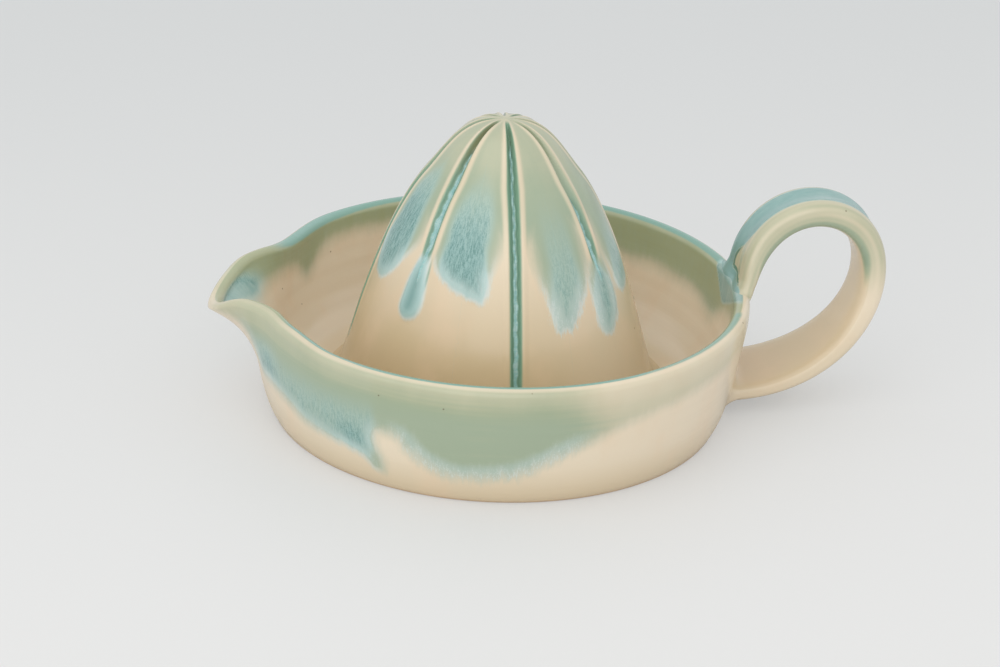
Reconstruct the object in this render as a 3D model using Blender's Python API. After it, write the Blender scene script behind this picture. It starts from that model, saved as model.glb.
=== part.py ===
"""A hand-thrown ceramic citrus juicer: a dish with a pulled spout, a fluted reamer and a pulled strap handle.

Metres, +Z up. The juicer stands on Z = 0 with the middle of its bounding box over the origin. The handle
points to +X and the spout to -X, a few degrees round towards +Y.
"""

from math import atan2, cos, exp, hypot, pi, radians, sin, tau

import bmesh
import bpy
from mathutils import Vector

# Dish: the thrown wall, floor and rim
RIM_RADIUS = 0.0750
RIM_HEIGHT = 0.0389
LIP_THICKNESS = 0.0048
WALL_THICKNESS = 0.0052
FLOOR_THICKNESS = 0.0065
FOOT_RADIUS = 0.0676
FOOT_CHAMFER = 0.0009
HIP_BULGE = 0.0034
COVE_WIDTH = 0.0130
FLOOR_OPENING_RADIUS = 0.0400

# Spout: pulled out of the rim, with its corners pinched in and raised and its tip bent down
SPOUT_AZIMUTH = radians(174.8)
SPOUT_REACH = 0.0869
SPOUT_HALF_ANGLE = radians(21.5)
SPOUT_DEPTH = 0.0220
SPOUT_TIP_DROP = 0.0056
SPOUT_TIP_HALF_ANGLE = radians(13)
SPOUT_CORNER_RISE = 0.0024
SPOUT_CORNER_ANGLE = radians(15.5)
SPOUT_CORNER_HALF_ANGLE = radians(10)
SPOUT_PINCH = 0.0019
SPOUT_PINCH_ANGLE = radians(29)
SPOUT_PINCH_HALF_ANGLE = radians(16)

# Reamer: a hollow dome with a rounded crown, carved with grooves that meet at its tip
REAMER_HEIGHT = 0.0918
REAMER_RADIUS = 0.0465
REAMER_RADIUS_HEIGHT = 0.0150
REAMER_TIP_FULLNESS = 0.0127
REAMER_CROWN_RADIUS = 0.0230
REAMER_CROWN_DROP = 0.0169
REAMER_CROWN_SLOPE = radians(51.8)
REAMER_CROWN_PULL = 0.0109
REAMER_SIDE_PULL = 0.0184
REAMER_BASE_PULL = 0.0149
REAMER_BASE_TAPER = 0.0046
REAMER_SHOULDER_RADIUS = 0.0344
REAMER_SHOULDER_HEIGHT = 0.0550
REAMER_FOOT_FLARE = 0.0040
REAMER_WALL = 0.0060
REAMER_TIP_WALL = 0.0100
GROOVE_AZIMUTHS = [radians(azimuth) for azimuth in (-188, -140.8, -91.8, -43.4, -1, 44, 88, 130)]
GROOVE_ENDS = (0.021, 0.048, 0.010, 0.048, 0.030, 0.012, 0.044, 0.024)
GROOVE_WIDTH = 0.0034
GROOVE_DEPTH = 0.0016
GROOVE_CREST_WIDTH = 0.0013
GROOVE_CREST_RISE = 0.0002
GROOVE_START_RADIUS = 0.0012
GROOVE_FULL_RADIUS = 0.0065
GROOVE_FADE_HEIGHT = 0.0080
PANEL_FLATTENING = 0.0003

# Handle: a strap whose middle line is two curves that meet at its outermost point
HANDLE_REACH = 0.1180
HANDLE_WIDEST_HEIGHT = 0.0415
HANDLE_TOP_PULL = 0.0257
HANDLE_LOWER_PULL = 0.0168
HANDLE_RIM_DEPTH = 0.0085
HANDLE_NECK_RISE = 0.0026
HANDLE_NECK_INSET = 0.0004
HANDLE_NECK_PULL = 0.0278
HANDLE_NECK_LEAN = 0.0047
HANDLE_WALL_HEIGHT = 0.0064
HANDLE_WALL_DEPTH = 0.0022
HANDLE_WALL_SWEEP = 0.0323
HANDLE_WALL_DIP = 0.0009

# Strap: its section, how it changes towards either end, and the ledge that it leaves inside the rim
STRAP_WIDTH = 0.0172
STRAP_THICKNESS = 0.0090
STRAP_RIM_WIDTH = 0.0244
STRAP_RIM_THICKNESS = 0.0044
STRAP_RIM_BLEND = 0.0300
STRAP_WALL_WIDTH = 0.0300
STRAP_WALL_THICKNESS = 0.0065
STRAP_WALL_BLEND = 0.0800
STRAP_FLARE = 0.0105
STRAP_FLARE_THICKNESS = 0.0046
STRAP_FLARE_LENGTH = 0.0130
STRAP_LEDGE_DEPTH = 0.0020
STRAP_LEDGE_LENGTH = 0.0058
STRAP_GROOVE_DEPTH = 0.0010
STRAP_GROOVE_WIDTH = 0.0090
STRAP_WRAP_LENGTH = 0.0160
STRAP_TAPER = 0.60
STRAP_TAPER_LENGTH = 0.0070
STRAP_FULLNESS = 0.62

# The pieces are luted together: touching faces stay this far apart
SEAT_GAP = 0.0003

# Mesh density
DISH_COLUMNS = 108
DISH_SPOUT_CROWDING = 0.60
REAMER_COLUMNS_PER_GROOVE = 10
STRAP_POINTS = 28

LIP_RADIUS = LIP_THICKNESS / 2
LIP_CENTRE_RADIUS = RIM_RADIUS - LIP_RADIUS
LIP_CENTRE_HEIGHT = RIM_HEIGHT - LIP_RADIUS
REAMER_SEAT_HEIGHT = FLOOR_THICKNESS + SEAT_GAP
GROOVE_COUNT = len(GROOVE_AZIMUTHS)


def clear_scene():
    for old in list(bpy.data.objects):
        bpy.data.objects.remove(old)


def make_material(name, color, roughness):
    """A fired glaze: Principled BSDF, never metallic."""
    material = bpy.data.materials.new(name)
    material.use_nodes = True
    shader = material.node_tree.nodes["Principled BSDF"]
    shader.inputs["Base Color"].default_value = (*color, 1)
    shader.inputs["Roughness"].default_value = roughness
    shader.inputs["Metallic"].default_value = 0
    material.diffuse_color = (*color, 1)
    return material


def make_object(name, bm, material, parent):
    """Turns a bmesh into a named, smooth-shaded object under the parent, with its faces pointing outwards."""
    bmesh.ops.recalc_face_normals(bm, faces=bm.faces)
    if bm.calc_volume(signed=True) < 0:
        bmesh.ops.reverse_faces(bm, faces=bm.faces)
    mesh = bpy.data.meshes.new(name)
    bm.to_mesh(mesh)
    bm.free()
    mesh.shade_smooth()
    mesh.set_sharp_from_angle(angle=radians(50))
    mesh.materials.append(material)
    made = bpy.data.objects.new(name, mesh)
    made.parent = parent
    bpy.context.scene.collection.objects.link(made)
    return made


def bell(distance, half_width):
    """1 at the middle, falling smoothly to 0 at half_width on either side."""
    if abs(distance) >= half_width:
        return 0.0
    return cos(pi / 2 * distance / half_width) ** 2


def smooth_step(value, low, high):
    """0 below low, 1 above high, and an S curve between them."""
    share = min(max((value - low) / (high - low), 0), 1)
    return share * share * (3 - 2 * share)


def curve(start, start_handle, end_handle, end, steps, crowding=1):
    """Points along one cubic curve, its end left off so that the next can start there.

    A crowding above 1 gathers the points towards the end.
    """
    corners = [Vector(corner) for corner in (start, start_handle, end_handle, end)]
    points = []
    for step in range(steps):
        t = 1 - (1 - step / steps) ** crowding
        weights = ((1 - t) ** 3, 3 * t * (1 - t) ** 2, 3 * t * t * (1 - t), t**3)
        point = sum((corner * weight for corner, weight in zip(corners, weights)), Vector((0, 0)))
        points.append(tuple(point))
    return points


def spun(profile, closed, columns):
    """A wire of (radius, height) points turned a full circle on the wheel. Each vertex keeps its place in it."""
    bm = bmesh.new()
    place = bm.verts.layers.int.new("place")
    verts = [bm.verts.new((radius, 0, height)) for radius, height in profile]
    for number, vert in enumerate(verts):
        vert[place] = number
    ends = verts[1:] + verts[:1] if closed else verts[1:]
    edges = [bm.edges.new(pair) for pair in zip(verts, ends)]
    bmesh.ops.spin(
        bm,
        geom=verts + edges,
        cent=(0, 0, 0),
        axis=(0, 0, 1),
        angle=tau,
        steps=columns,
        use_merge=True,
    )
    bmesh.ops.remove_doubles(bm, verts=bm.verts, dist=1e-6)
    return bm, place


def lip_point(turn, gap):
    """A point on the rounded lip, turn being 0 at its outside and a quarter turn at its crest."""
    reach = LIP_RADIUS + gap
    return LIP_CENTRE_RADIUS + reach * cos(turn), LIP_CENTRE_HEIGHT + reach * sin(turn)


def outer_wall(gap):
    """The dish's outside from its foot up to the crest of the lip, moved out by gap."""
    chamfer = (FOOT_RADIUS - FOOT_CHAMFER + gap, 0)
    foot = (FOOT_RADIUS + gap, FOOT_CHAMFER)
    under_lip = (RIM_RADIUS + gap, LIP_CENTRE_HEIGHT - LIP_RADIUS)
    foot_handle = (FOOT_RADIUS + HIP_BULGE + gap, RIM_HEIGHT * 0.15)
    lip_handle = (RIM_RADIUS - HIP_BULGE * 0.62 + gap, RIM_HEIGHT * 0.52)
    points = [chamfer] + curve(foot, foot_handle, lip_handle, under_lip, 9) + [under_lip]
    points += [lip_point(radians(18) * step, gap) for step in range(6)]
    return points


def inner_wall(gap):
    """The dish's inside from beyond the crest of the lip down to the end of the cove, moved in by gap."""
    points = [lip_point(radians(90 + 22.5 * step), gap) for step in range(1, 4)]
    wall_handle = (RIM_RADIUS - WALL_THICKNESS - 0.0006 - gap, RIM_HEIGHT * 0.62)
    cove_handle = (FOOT_RADIUS + HIP_BULGE * 0.9 - WALL_THICKNESS - gap, FLOOR_THICKNESS)
    cove_end = (FOOT_RADIUS - COVE_WIDTH, FLOOR_THICKNESS)
    return points + curve(lip_point(pi, gap), wall_handle, cove_handle, cove_end, 10) + [cove_end]


def dish_section():
    """The closed section of the dish: foot, outer wall, lip, inner wall, cove, floor and floor opening."""
    return outer_wall(0) + inner_wall(0) + [(FLOOR_OPENING_RADIUS, FLOOR_THICKNESS), (FLOOR_OPENING_RADIUS, 0)]


def pulled(radius, angle, height):
    """Where the potter's fingers leave a point of the wall, angle being counted from the spout's middle."""
    bottom = LIP_CENTRE_HEIGHT - SPOUT_DEPTH
    share = min(max((height - bottom) / SPOUT_DEPTH, 0), 1) ** 2
    out = (SPOUT_REACH - RIM_RADIUS) * bell(angle, SPOUT_HALF_ANGLE)
    pinch = SPOUT_PINCH * bell(abs(angle) - SPOUT_PINCH_ANGLE, SPOUT_PINCH_HALF_ANGLE)
    rise = SPOUT_CORNER_RISE * bell(abs(angle) - SPOUT_CORNER_ANGLE, SPOUT_CORNER_HALF_ANGLE)
    drop = SPOUT_TIP_DROP * bell(angle, SPOUT_TIP_HALF_ANGLE)
    return radius + share * (out - pinch), height + share * (rise - drop)


def make_dish(parent):
    """Thrown as a ring section, then the spout is pulled from the soft rim."""
    bm, _ = spun(dish_section(), True, DISH_COLUMNS)
    for vert in bm.verts:
        radius = hypot(vert.co.x, vert.co.y)
        turn = atan2(vert.co.y, vert.co.x)
        angle = turn - DISH_SPOUT_CROWDING * sin(turn)
        radius, height = pulled(radius, angle, vert.co.z)
        azimuth = SPOUT_AZIMUTH + angle
        vert.co = (radius * cos(azimuth), radius * sin(azimuth), height)
    glaze = make_material("cream_glaze", (0.66, 0.55, 0.37), 0.2)
    return make_object("dish", bm, glaze, parent)


def reamer_outside():
    """(radius, height) from the tip down over the crown and the side to the flared foot."""
    tip = (0, REAMER_HEIGHT)
    base = (REAMER_RADIUS, REAMER_RADIUS_HEIGHT)
    tip_handle = (REAMER_TIP_FULLNESS, REAMER_HEIGHT)
    across, down = cos(REAMER_CROWN_SLOPE), sin(REAMER_CROWN_SLOPE)
    crown = (REAMER_CROWN_RADIUS, REAMER_HEIGHT - REAMER_CROWN_DROP)
    crown_handle = (crown[0] - REAMER_CROWN_PULL * across, crown[1] + REAMER_CROWN_PULL * down)
    side_handle = (crown[0] + REAMER_SIDE_PULL * across, crown[1] - REAMER_SIDE_PULL * down)
    base_handle = (REAMER_RADIUS - REAMER_BASE_TAPER, REAMER_RADIUS_HEIGHT + REAMER_BASE_PULL)
    foot_radius = REAMER_RADIUS + REAMER_FOOT_FLARE
    foot_top = REAMER_SEAT_HEIGHT + 0.0006
    foot_handle = (REAMER_RADIUS + 0.0016, REAMER_SEAT_HEIGHT + 0.0025)
    points = curve(tip, tip_handle, crown_handle, crown, 9)
    points += curve(crown, side_handle, base_handle, base, 12)
    points += curve(base, foot_handle, foot_handle, (foot_radius, foot_top), 4)
    return points + [(foot_radius, foot_top)]


def reamer_inside():
    """(radius, height) from the seat up the hollow to the inside of the tip."""
    seat = (REAMER_RADIUS - REAMER_WALL + 0.0006, REAMER_SEAT_HEIGHT)
    base = (REAMER_RADIUS - REAMER_WALL, REAMER_RADIUS_HEIGHT)
    shoulder = (REAMER_SHOULDER_RADIUS - REAMER_WALL, REAMER_SHOULDER_HEIGHT)
    tip = (0, REAMER_HEIGHT - REAMER_TIP_WALL)
    tip_handle = (REAMER_TIP_FULLNESS, REAMER_HEIGHT - REAMER_TIP_WALL)
    return [seat] + curve(base, shoulder, tip_handle, tip, 7) + [tip]


def groove_turn(groove):
    """The azimuth of a groove, counted on past the last one."""
    laps, number = divmod(groove, GROOVE_COUNT)
    return GROOVE_AZIMUTHS[number] + tau * laps


def groove_share(column, arc):
    """How far along the arc from one groove's middle to the next a column of points stands."""
    edge = GROOVE_WIDTH / 2
    margins = (0, edge * 0.56, edge, edge + GROOVE_CREST_WIDTH)
    squeeze = min(1, 0.36 * arc / margins[3])
    half = REAMER_COLUMNS_PER_GROOVE // 2
    across = min(column, REAMER_COLUMNS_PER_GROOVE - column)
    if across < len(margins):
        share = squeeze * margins[across] / arc
    else:
        crest = squeeze * margins[3] / arc
        share = crest + (0.5 - crest) * (across - 3) / (half - 3)
    return share if column <= half else 1 - share


def carving(groove, column, radius, height):
    """How far the potter's tool moves a point along the dome's normal: down in a groove, up on its crests.

    Each groove fades out at its own height, as the tool lifts.
    """
    across = min(column, REAMER_COLUMNS_PER_GROOVE - column)
    steps = (-GROOVE_DEPTH, -GROOVE_DEPTH * 0.66, 0, GROOVE_CREST_RISE, 0, -PANEL_FLATTENING)
    nearest = groove if column <= across else groove + 1
    end = GROOVE_ENDS[nearest % GROOVE_COUNT]
    fade = smooth_step(height, end, end + GROOVE_FADE_HEIGHT)
    return steps[across] * fade * smooth_step(radius, GROOVE_START_RADIUS, GROOVE_FULL_RADIUS)


def make_reamer(parent):
    """Thrown as a hollow dome, then carved with grooves from the tip down."""
    outside = reamer_outside()
    profile = outside + reamer_inside()
    columns = GROOVE_COUNT * REAMER_COLUMNS_PER_GROOVE
    bm, place = spun(profile, False, columns)
    for vert in bm.verts:
        radius = hypot(vert.co.x, vert.co.y)
        number = vert[place]
        if radius < 1e-6:
            continue
        turn = round(atan2(vert.co.y, vert.co.x) / tau * columns) % columns
        groove, column = divmod(turn, REAMER_COLUMNS_PER_GROOVE)
        start, end = groove_turn(groove), groove_turn(groove + 1)
        azimuth = start + (end - start) * groove_share(column, (end - start) * radius)
        height = vert.co.z
        if 0 < number < len(outside):
            before, after = profile[number - 1], profile[number + 1]
            along = Vector((after[0] - before[0], after[1] - before[1])).normalized()
            depth = carving(groove, column, radius, height)
            radius -= along.y * depth
            height += along.x * depth
        vert.co = (radius * cos(azimuth), radius * sin(azimuth), height)
    glaze = make_material("celadon_glaze", (0.47, 0.55, 0.40), 0.2)
    return make_object("reamer", bm, glaze, parent)


def handle_path():
    """(x, z) along the strap's middle line: up out of the rim, over the loop and round into the foot of the wall."""
    buried = (LIP_CENTRE_RADIUS, RIM_HEIGHT - HANDLE_RIM_DEPTH)
    neck = (RIM_RADIUS - HANDLE_NECK_INSET, RIM_HEIGHT + HANDLE_NECK_RISE)
    neck_handle = (neck[0] + HANDLE_NECK_LEAN, neck[1] + HANDLE_NECK_PULL)
    outermost = (HANDLE_REACH - STRAP_THICKNESS / 2, HANDLE_WIDEST_HEIGHT)
    top_handle = (outermost[0], outermost[1] + HANDLE_TOP_PULL)
    lower_handle = (outermost[0], outermost[1] - HANDLE_LOWER_PULL)
    wall = (FOOT_RADIUS + HIP_BULGE - HANDLE_WALL_DEPTH, HANDLE_WALL_HEIGHT)
    wall_handle = (wall[0] + HANDLE_WALL_SWEEP, wall[1] - HANDLE_WALL_DIP)
    lift = [share / 7 for share in range(7)]
    points = [(buried[0] + (neck[0] - buried[0]) * t, buried[1] + (neck[1] - buried[1]) * t) for t in lift]
    points += curve(neck, neck_handle, top_handle, outermost, 14)
    return points + curve(outermost, lower_handle, wall_handle, wall, 18, 1.5) + [wall]


def strap_section(from_rim, from_wall, over_lip):
    """Outline of the strap, as (out of the loop, across) points, at its distances from both ends and the lip.

    The outer face has a shallow groove between two rounded edges. Both ends spread where they meet the dish,
    and the end on the rim tapers into the clay below the lip.
    """
    near_rim = bell(from_rim, STRAP_RIM_BLEND)
    near_wall = bell(from_wall, STRAP_WALL_BLEND)
    spread = bell(from_wall, STRAP_FLARE_LENGTH)
    width = STRAP_WIDTH + (STRAP_RIM_WIDTH - STRAP_WIDTH) * near_rim
    width += (STRAP_WALL_WIDTH - STRAP_WIDTH) * near_wall + STRAP_FLARE * spread
    thickness = STRAP_THICKNESS + (STRAP_RIM_THICKNESS - STRAP_THICKNESS) * near_rim
    thickness += (STRAP_WALL_THICKNESS - STRAP_THICKNESS) * near_wall + STRAP_FLARE_THICKNESS * spread
    thickness *= 1 - STRAP_TAPER * (1 - smooth_step(over_lip, -STRAP_TAPER_LENGTH, 0))
    ledge = STRAP_LEDGE_DEPTH * bell(over_lip, STRAP_LEDGE_LENGTH)
    points = []
    for step in range(STRAP_POINTS):
        turn = tau * step / STRAP_POINTS
        across = width / 2 * abs(cos(turn)) ** STRAP_FULLNESS * (1 if cos(turn) > 0 else -1)
        if sin(turn) > 0:
            out = (thickness / 2 + ledge) * sin(turn) ** STRAP_FULLNESS
            out -= STRAP_GROOVE_DEPTH * exp(-((2 * across / STRAP_GROOVE_WIDTH) ** 2))
        else:
            out = -thickness / 2 * abs(sin(turn)) ** STRAP_FULLNESS
        points.append((out, across))
    return points


def strap_rings():
    """The strap's outline at each step of its path, bent round the dish near both ends."""
    path = [Vector((x, 0, z)) for x, z in handle_path()]
    steps = [(after - before).length for before, after in zip(path, path[1:])]
    for number, point in enumerate(path):
        before, after = path[max(number - 1, 0)], path[min(number + 1, len(path) - 1)]
        along = (after - before).normalized()
        from_rim, from_wall = sum(steps[:number]), sum(steps[number:])
        over_lip = point.z - LIP_CENTRE_HEIGHT if from_rim < from_wall else RIM_HEIGHT
        wrap = max(bell(from_rim, STRAP_WRAP_LENGTH), bell(from_wall, STRAP_WRAP_LENGTH))
        ring = []
        for out, across in strap_section(from_rim, from_wall, over_lip):
            sag = wrap * across * across / (2 * RIM_RADIUS)
            ring.append(Vector((point.x - along.z * out - sag, across, point.z + along.x * out)))
        yield ring


def make_handle(parent, seat):
    """Pulled as a strap, swept round the loop and cut to sit on the rim and the wall."""
    bm = bmesh.new()
    place = bm.verts.layers.int.new("place")
    rings = strap_rings()
    verts = [bm.verts.new(point) for point in next(rings)]
    for order, vert in enumerate(verts):
        vert[place] = order
    buried_end = face = bm.faces.new(verts)
    for ring in rings:
        made = bmesh.ops.extrude_face_region(bm, geom=[face])["geom"]
        if face is not buried_end:
            bmesh.ops.delete(bm, geom=[face], context="FACES_ONLY")
        face = next(item for item in made if isinstance(item, bmesh.types.BMFace))
        for vert in face.verts:
            vert.co = ring[vert[place]]
    glaze = make_material("green_blue_glaze", (0.40, 0.52, 0.42), 0.2)
    handle = make_object("handle", bm, glaze, parent)
    cut = handle.modifiers.new("seat", "BOOLEAN")
    cut.operation = "DIFFERENCE"
    cut.object = seat
    return handle


def make_seat(parent):
    """The cutter that shapes the handle's ends: the rim and wall grown by the gap, and filled below the lip.

    It is turned by half a column, so that none of its edges runs along the strap's middle.
    """
    lip_and_wall = outer_wall(SEAT_GAP) + inner_wall(SEAT_GAP)[:6]
    below = -RIM_HEIGHT / 4
    profile = [(0, below), (lip_and_wall[0][0], below)] + lip_and_wall + [(0, lip_and_wall[-1][1])]
    bm, _ = spun(profile, False, DISH_COLUMNS)
    seat = make_object("handle_seat", bm, make_material("cutter", (0.8, 0.1, 0.1), 0.5), parent)
    seat.rotation_euler.z = pi / DISH_COLUMNS
    seat.hide_render = True
    seat.display_type = "WIRE"
    return seat


def main():
    clear_scene()
    axis = bpy.data.objects.new("dish_axis", None)
    bpy.context.scene.collection.objects.link(axis)
    dish = make_dish(axis)
    make_reamer(axis)
    handle = make_handle(axis, make_seat(axis))
    spout_tip = min(vert.co.x for vert in dish.data.vertices)
    handle_side = max(vert.co.x for vert in handle.data.vertices)
    axis.location.x = -(spout_tip + handle_side) / 2


main()
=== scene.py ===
# %% [markdown]
# # A ceramic citrus juicer
#
# On the wheel this juicer is three pieces of clay: a thrown dish with a spout pulled from its rim, a hollow
# reamer carved with grooves, and a pulled strap for a handle. One firing joins them under a glaze that runs.
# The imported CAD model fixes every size. This lesson models each piece again, finely enough for thick glaze
# edges, pooled grooves and drips, and then mixes the glaze itself in shader nodes.

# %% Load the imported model
from math import cos, pi, radians, sin, tau

import bmesh
import bpy
import numpy as np
from mathutils import Matrix, Vector


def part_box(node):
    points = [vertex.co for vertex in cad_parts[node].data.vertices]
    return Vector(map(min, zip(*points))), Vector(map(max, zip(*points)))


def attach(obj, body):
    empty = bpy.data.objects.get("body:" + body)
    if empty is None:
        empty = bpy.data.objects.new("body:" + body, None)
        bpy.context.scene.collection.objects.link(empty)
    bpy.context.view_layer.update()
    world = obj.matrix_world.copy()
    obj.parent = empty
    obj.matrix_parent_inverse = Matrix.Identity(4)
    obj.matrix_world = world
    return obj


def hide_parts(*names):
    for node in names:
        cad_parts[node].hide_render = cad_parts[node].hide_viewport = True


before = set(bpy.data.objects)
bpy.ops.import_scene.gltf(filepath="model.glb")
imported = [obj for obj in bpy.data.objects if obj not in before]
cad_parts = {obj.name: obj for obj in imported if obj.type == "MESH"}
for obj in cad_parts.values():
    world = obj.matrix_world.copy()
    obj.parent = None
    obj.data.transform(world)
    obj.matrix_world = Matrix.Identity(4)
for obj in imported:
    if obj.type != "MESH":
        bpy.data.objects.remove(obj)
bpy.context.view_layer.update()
reamer_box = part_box("reamer")
DISH_AXIS_X = (reamer_box[0].x + reamer_box[1].x) / 2
print("nodes:", sorted(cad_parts), "dish axis at x =", round(DISH_AXIS_X, 5))

# %% [markdown]
# ## Shapes of falling and rising
#
# Clay and glaze have no sharp corners, so nearly every shape here is a smooth bump, a smooth step or a cubic
# curve. They work on whole arrays at once, because a fine piece has a hundred thousand vertices. All sizes
# are millimetres and are made metres at the very end of each piece.

# %% Bumps, steps and curves


def bell(distance, half_width):
    """1 at the middle, falling smoothly to 0 at half_width on either side."""
    share = np.clip(np.abs(distance) / half_width, 0, 1)
    return np.cos(pi / 2 * share) ** 2


def rise(value, low, high):
    """0 at low, 1 at high, and an S curve between them."""
    share = np.clip((value - low) / (high - low), 0, 1)
    return share * share * (3 - 2 * share)


def curve(start, start_handle, end_handle, end, steps):
    """Points along one cubic curve, its end left off."""
    t = (np.arange(steps) / steps)[:, None]
    corners = [np.array(corner, float) for corner in (start, start_handle, end_handle, end)]
    weights = ((1 - t) ** 3, 3 * t * (1 - t) ** 2, 3 * t * t * (1 - t), t**3)
    return sum(corner * weight for corner, weight in zip(corners, weights))


def lengths(points):
    """How far along a line of points each one is."""
    steps = np.hypot(*np.diff(points, axis=0).T)
    return np.concatenate([[0], np.cumsum(steps)])


# %% [markdown]
# ## From the wheel to a mesh
#
# A potter throws round shapes, so a section turned about the wheel's axis makes them: `bmesh.ops.spin`. Each
# vertex remembers its place in the section, which later says whether it is on the rim, in a groove or under
# the foot. The glaze is painted per vertex too, as named float attributes that the shader reads.

# %% Throwing and keeping numbers on the clay


SLICES = 16


def thrown(section, closed, columns):
    """Spins a section of (radius, height) points into a slice, then copies of the slice to a full circle."""
    bm = bmesh.new()
    place = bm.verts.layers.int.new("place")
    verts = [bm.verts.new((radius, 0, height)) for radius, height in section]
    for number, vert in enumerate(verts):
        vert[place] = number
    ends = verts[1:] + verts[:1] if closed else verts[1:]
    edges = [bm.edges.new(pair) for pair in zip(verts, ends)]
    wheel = {"cent": (0, 0, 0), "axis": (0, 0, 1)}
    bmesh.ops.spin(bm, geom=verts + edges, angle=tau / SLICES, steps=columns // SLICES, **wheel)
    slice_geom = list(bm.verts) + list(bm.edges) + list(bm.faces)
    copies = SLICES - 1
    rest = tau * copies / SLICES
    bmesh.ops.spin(bm, geom=slice_geom, angle=rest, steps=copies, use_duplicate=True, **wheel)
    bmesh.ops.remove_doubles(bm, verts=bm.verts, dist=1e-3)
    return bm


def to_mesh(name, bm):
    """A smooth mesh whose faces point outwards."""
    bmesh.ops.recalc_face_normals(bm, faces=bm.faces)
    if bm.calc_volume(signed=True) < 0:
        bmesh.ops.reverse_faces(bm, faces=bm.faces)
    mesh = bpy.data.meshes.new(name)
    bm.to_mesh(mesh)
    bm.free()
    mesh.shade_smooth()
    return mesh


def read(data, name, kind=float, width=1):
    """One property of all the vertices, as an array."""
    values = np.empty(len(data) * width, kind)
    data.foreach_get(name, values)
    return values.reshape(-1, width) if width > 1 else values


def positions(mesh):
    """The mesh's vertices, a row each."""
    return read(mesh.vertices, "co", width=3)


def numbers(mesh, name):
    """A whole-number attribute of the mesh's vertices."""
    return read(mesh.attributes[name].data, "value", np.int32)


def move(mesh, points):
    """Puts the vertices at these points."""
    mesh.vertices.foreach_set("co", np.asarray(points, np.float32).ravel())
    mesh.update()


def swell(mesh, relief):
    """Moves each vertex along its normal, as a coat of glaze does."""
    normals = read(mesh.vertex_normals, "vector", width=3)
    move(mesh, positions(mesh) + normals * relief[:, None])


# What a map says on a piece that has nothing of its own to say.
PLAIN_MAPS = {"crisp": 0.0, "frost": 0.0, "ragged": 0.3, "bead": 0.0, "across": 9.0, "bare": 0.0}


def paint(mesh, **maps):
    """Keeps a number or a vector for each vertex, as attributes that a material can read."""
    for name, values in {**PLAIN_MAPS, **maps}.items():
        values = np.asarray(values, np.float32)
        if values.ndim == 0:
            values = np.full(len(mesh.vertices), values)
        wide = values.ndim == 2
        layer = mesh.attributes.new(name, "FLOAT_VECTOR" if wide else "FLOAT", "POINT")
        layer.data.foreach_set("vector" if wide else "value", values.ravel())


scene = bpy.context.scene
link = scene.collection.objects.link


def finish_piece(mesh, node):
    """Puts the piece where the CAD node is, in metres, and lets it stand for that node."""
    mesh.transform(Matrix.Translation((DISH_AXIS_X, 0, 0)) @ Matrix.Scale(0.001, 4))
    piece = bpy.data.objects.new(node + "_glazed", mesh)
    link(piece)
    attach(piece, "root")
    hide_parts(node)
    print(piece.name, len(mesh.vertices), "vertices", [round(1000 * side, 1) for side in piece.dimensions])


# %% [markdown]
# ## Where the glaze ran
#
# A second, coloured glaze was poured over the cream one and slid down in the kiln. Each run has an outline:
# sharp and thick where it stopped, soft where it thins out. An outline is a few stations of azimuth and
# height, rounded by a smooth curve. What the shader needs is each vertex's distance to it, in millimetres.

# %% Outlines and distances
FAR = 20.0


def rounded(stations, steps=4):
    """A smooth closed line through the stations."""
    here = np.array(stations, float)
    before = np.roll(here, 1, axis=0)
    after = np.roll(here, -1, axis=0)
    beyond = np.roll(here, -2, axis=0)
    t = (np.arange(steps) / steps)[:, None, None]
    line = 2 * here + (after - before) * t
    line = line + (2 * before - 5 * here + 4 * after - beyond) * t**2
    line = line + (3 * here - before - 3 * after + beyond) * t**3
    return (line / 2).swapaxes(0, 1).reshape(-1, 2)


def depth_inside(u, v, outline):
    """Distance from each point (u, v) to a closed outline: positive inside it, -FAR well outside it."""
    low = outline.min(axis=0) - FAR
    high = outline.max(axis=0) + FAR
    near = (u > low[0]) & (u < high[0]) & (v > low[1]) & (v < high[1])
    depth = np.full(u.shape, -FAR)
    depth[near] = depth_nearby(u[near], v[near], outline)
    return depth


def depth_nearby(u, v, outline):
    """The same for points that are all close to the outline."""
    nearest = np.full(u.shape, 1e9)
    inside = np.zeros(u.shape, bool)
    for (u0, v0), (u1, v1) in zip(outline, np.roll(outline, -1, axis=0)):
        du = u1 - u0
        dv = v1 - v0
        t = np.clip(((u - u0) * du + (v - v0) * dv) / max(du * du + dv * dv, 1e-12), 0, 1)
        nearest = np.minimum(nearest, np.hypot(u - u0 - t * du, v - v0 - t * dv))
        if dv:
            inside ^= ((v0 > v) != (v1 > v)) & (u < (v - v0) * du / dv + u0)
    return np.where(inside, nearest, -nearest)


def degrees_from(azimuth, middle):
    """Azimuth counted from a middle one, between -180 and 180."""
    return (azimuth - middle + 180) % 360 - 180


def around(radius, turn, height):
    """Points at these radii, turns in radians and heights."""
    return np.stack([radius * np.cos(turn), radius * np.sin(turn), height], 1)


def hem_depth(azimuth, height, hem, radius):
    """Distance above a hem that goes all the way round: stations of azimuth and height, unrolled flat."""
    stations = np.array(hem, float)
    laps = np.concatenate([stations + (lap, 0) for lap in (-360, 0, 360)])
    laps = laps[np.abs(laps[:, 0]) < 200]
    line = rounded(laps)[: 4 * len(laps) - 4]
    outline = np.concatenate([line, [(line[-1][0], 200), (line[0][0], 200)]])
    per_degree = radius * pi / 180
    return depth_inside(azimuth * per_degree, height, outline * (per_degree, 1))


# %% [markdown]
# ## The dish
#
# Thrown as a thick ring of floor with a wall that swells at the hip and ends in a rounded rim. The potter
# opened the middle of the floor under the reamer. The section is spun first. Then each point of the wall is
# pulled outwards near the spout, more the higher it is, as wet clay follows two pinching fingers.

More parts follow.
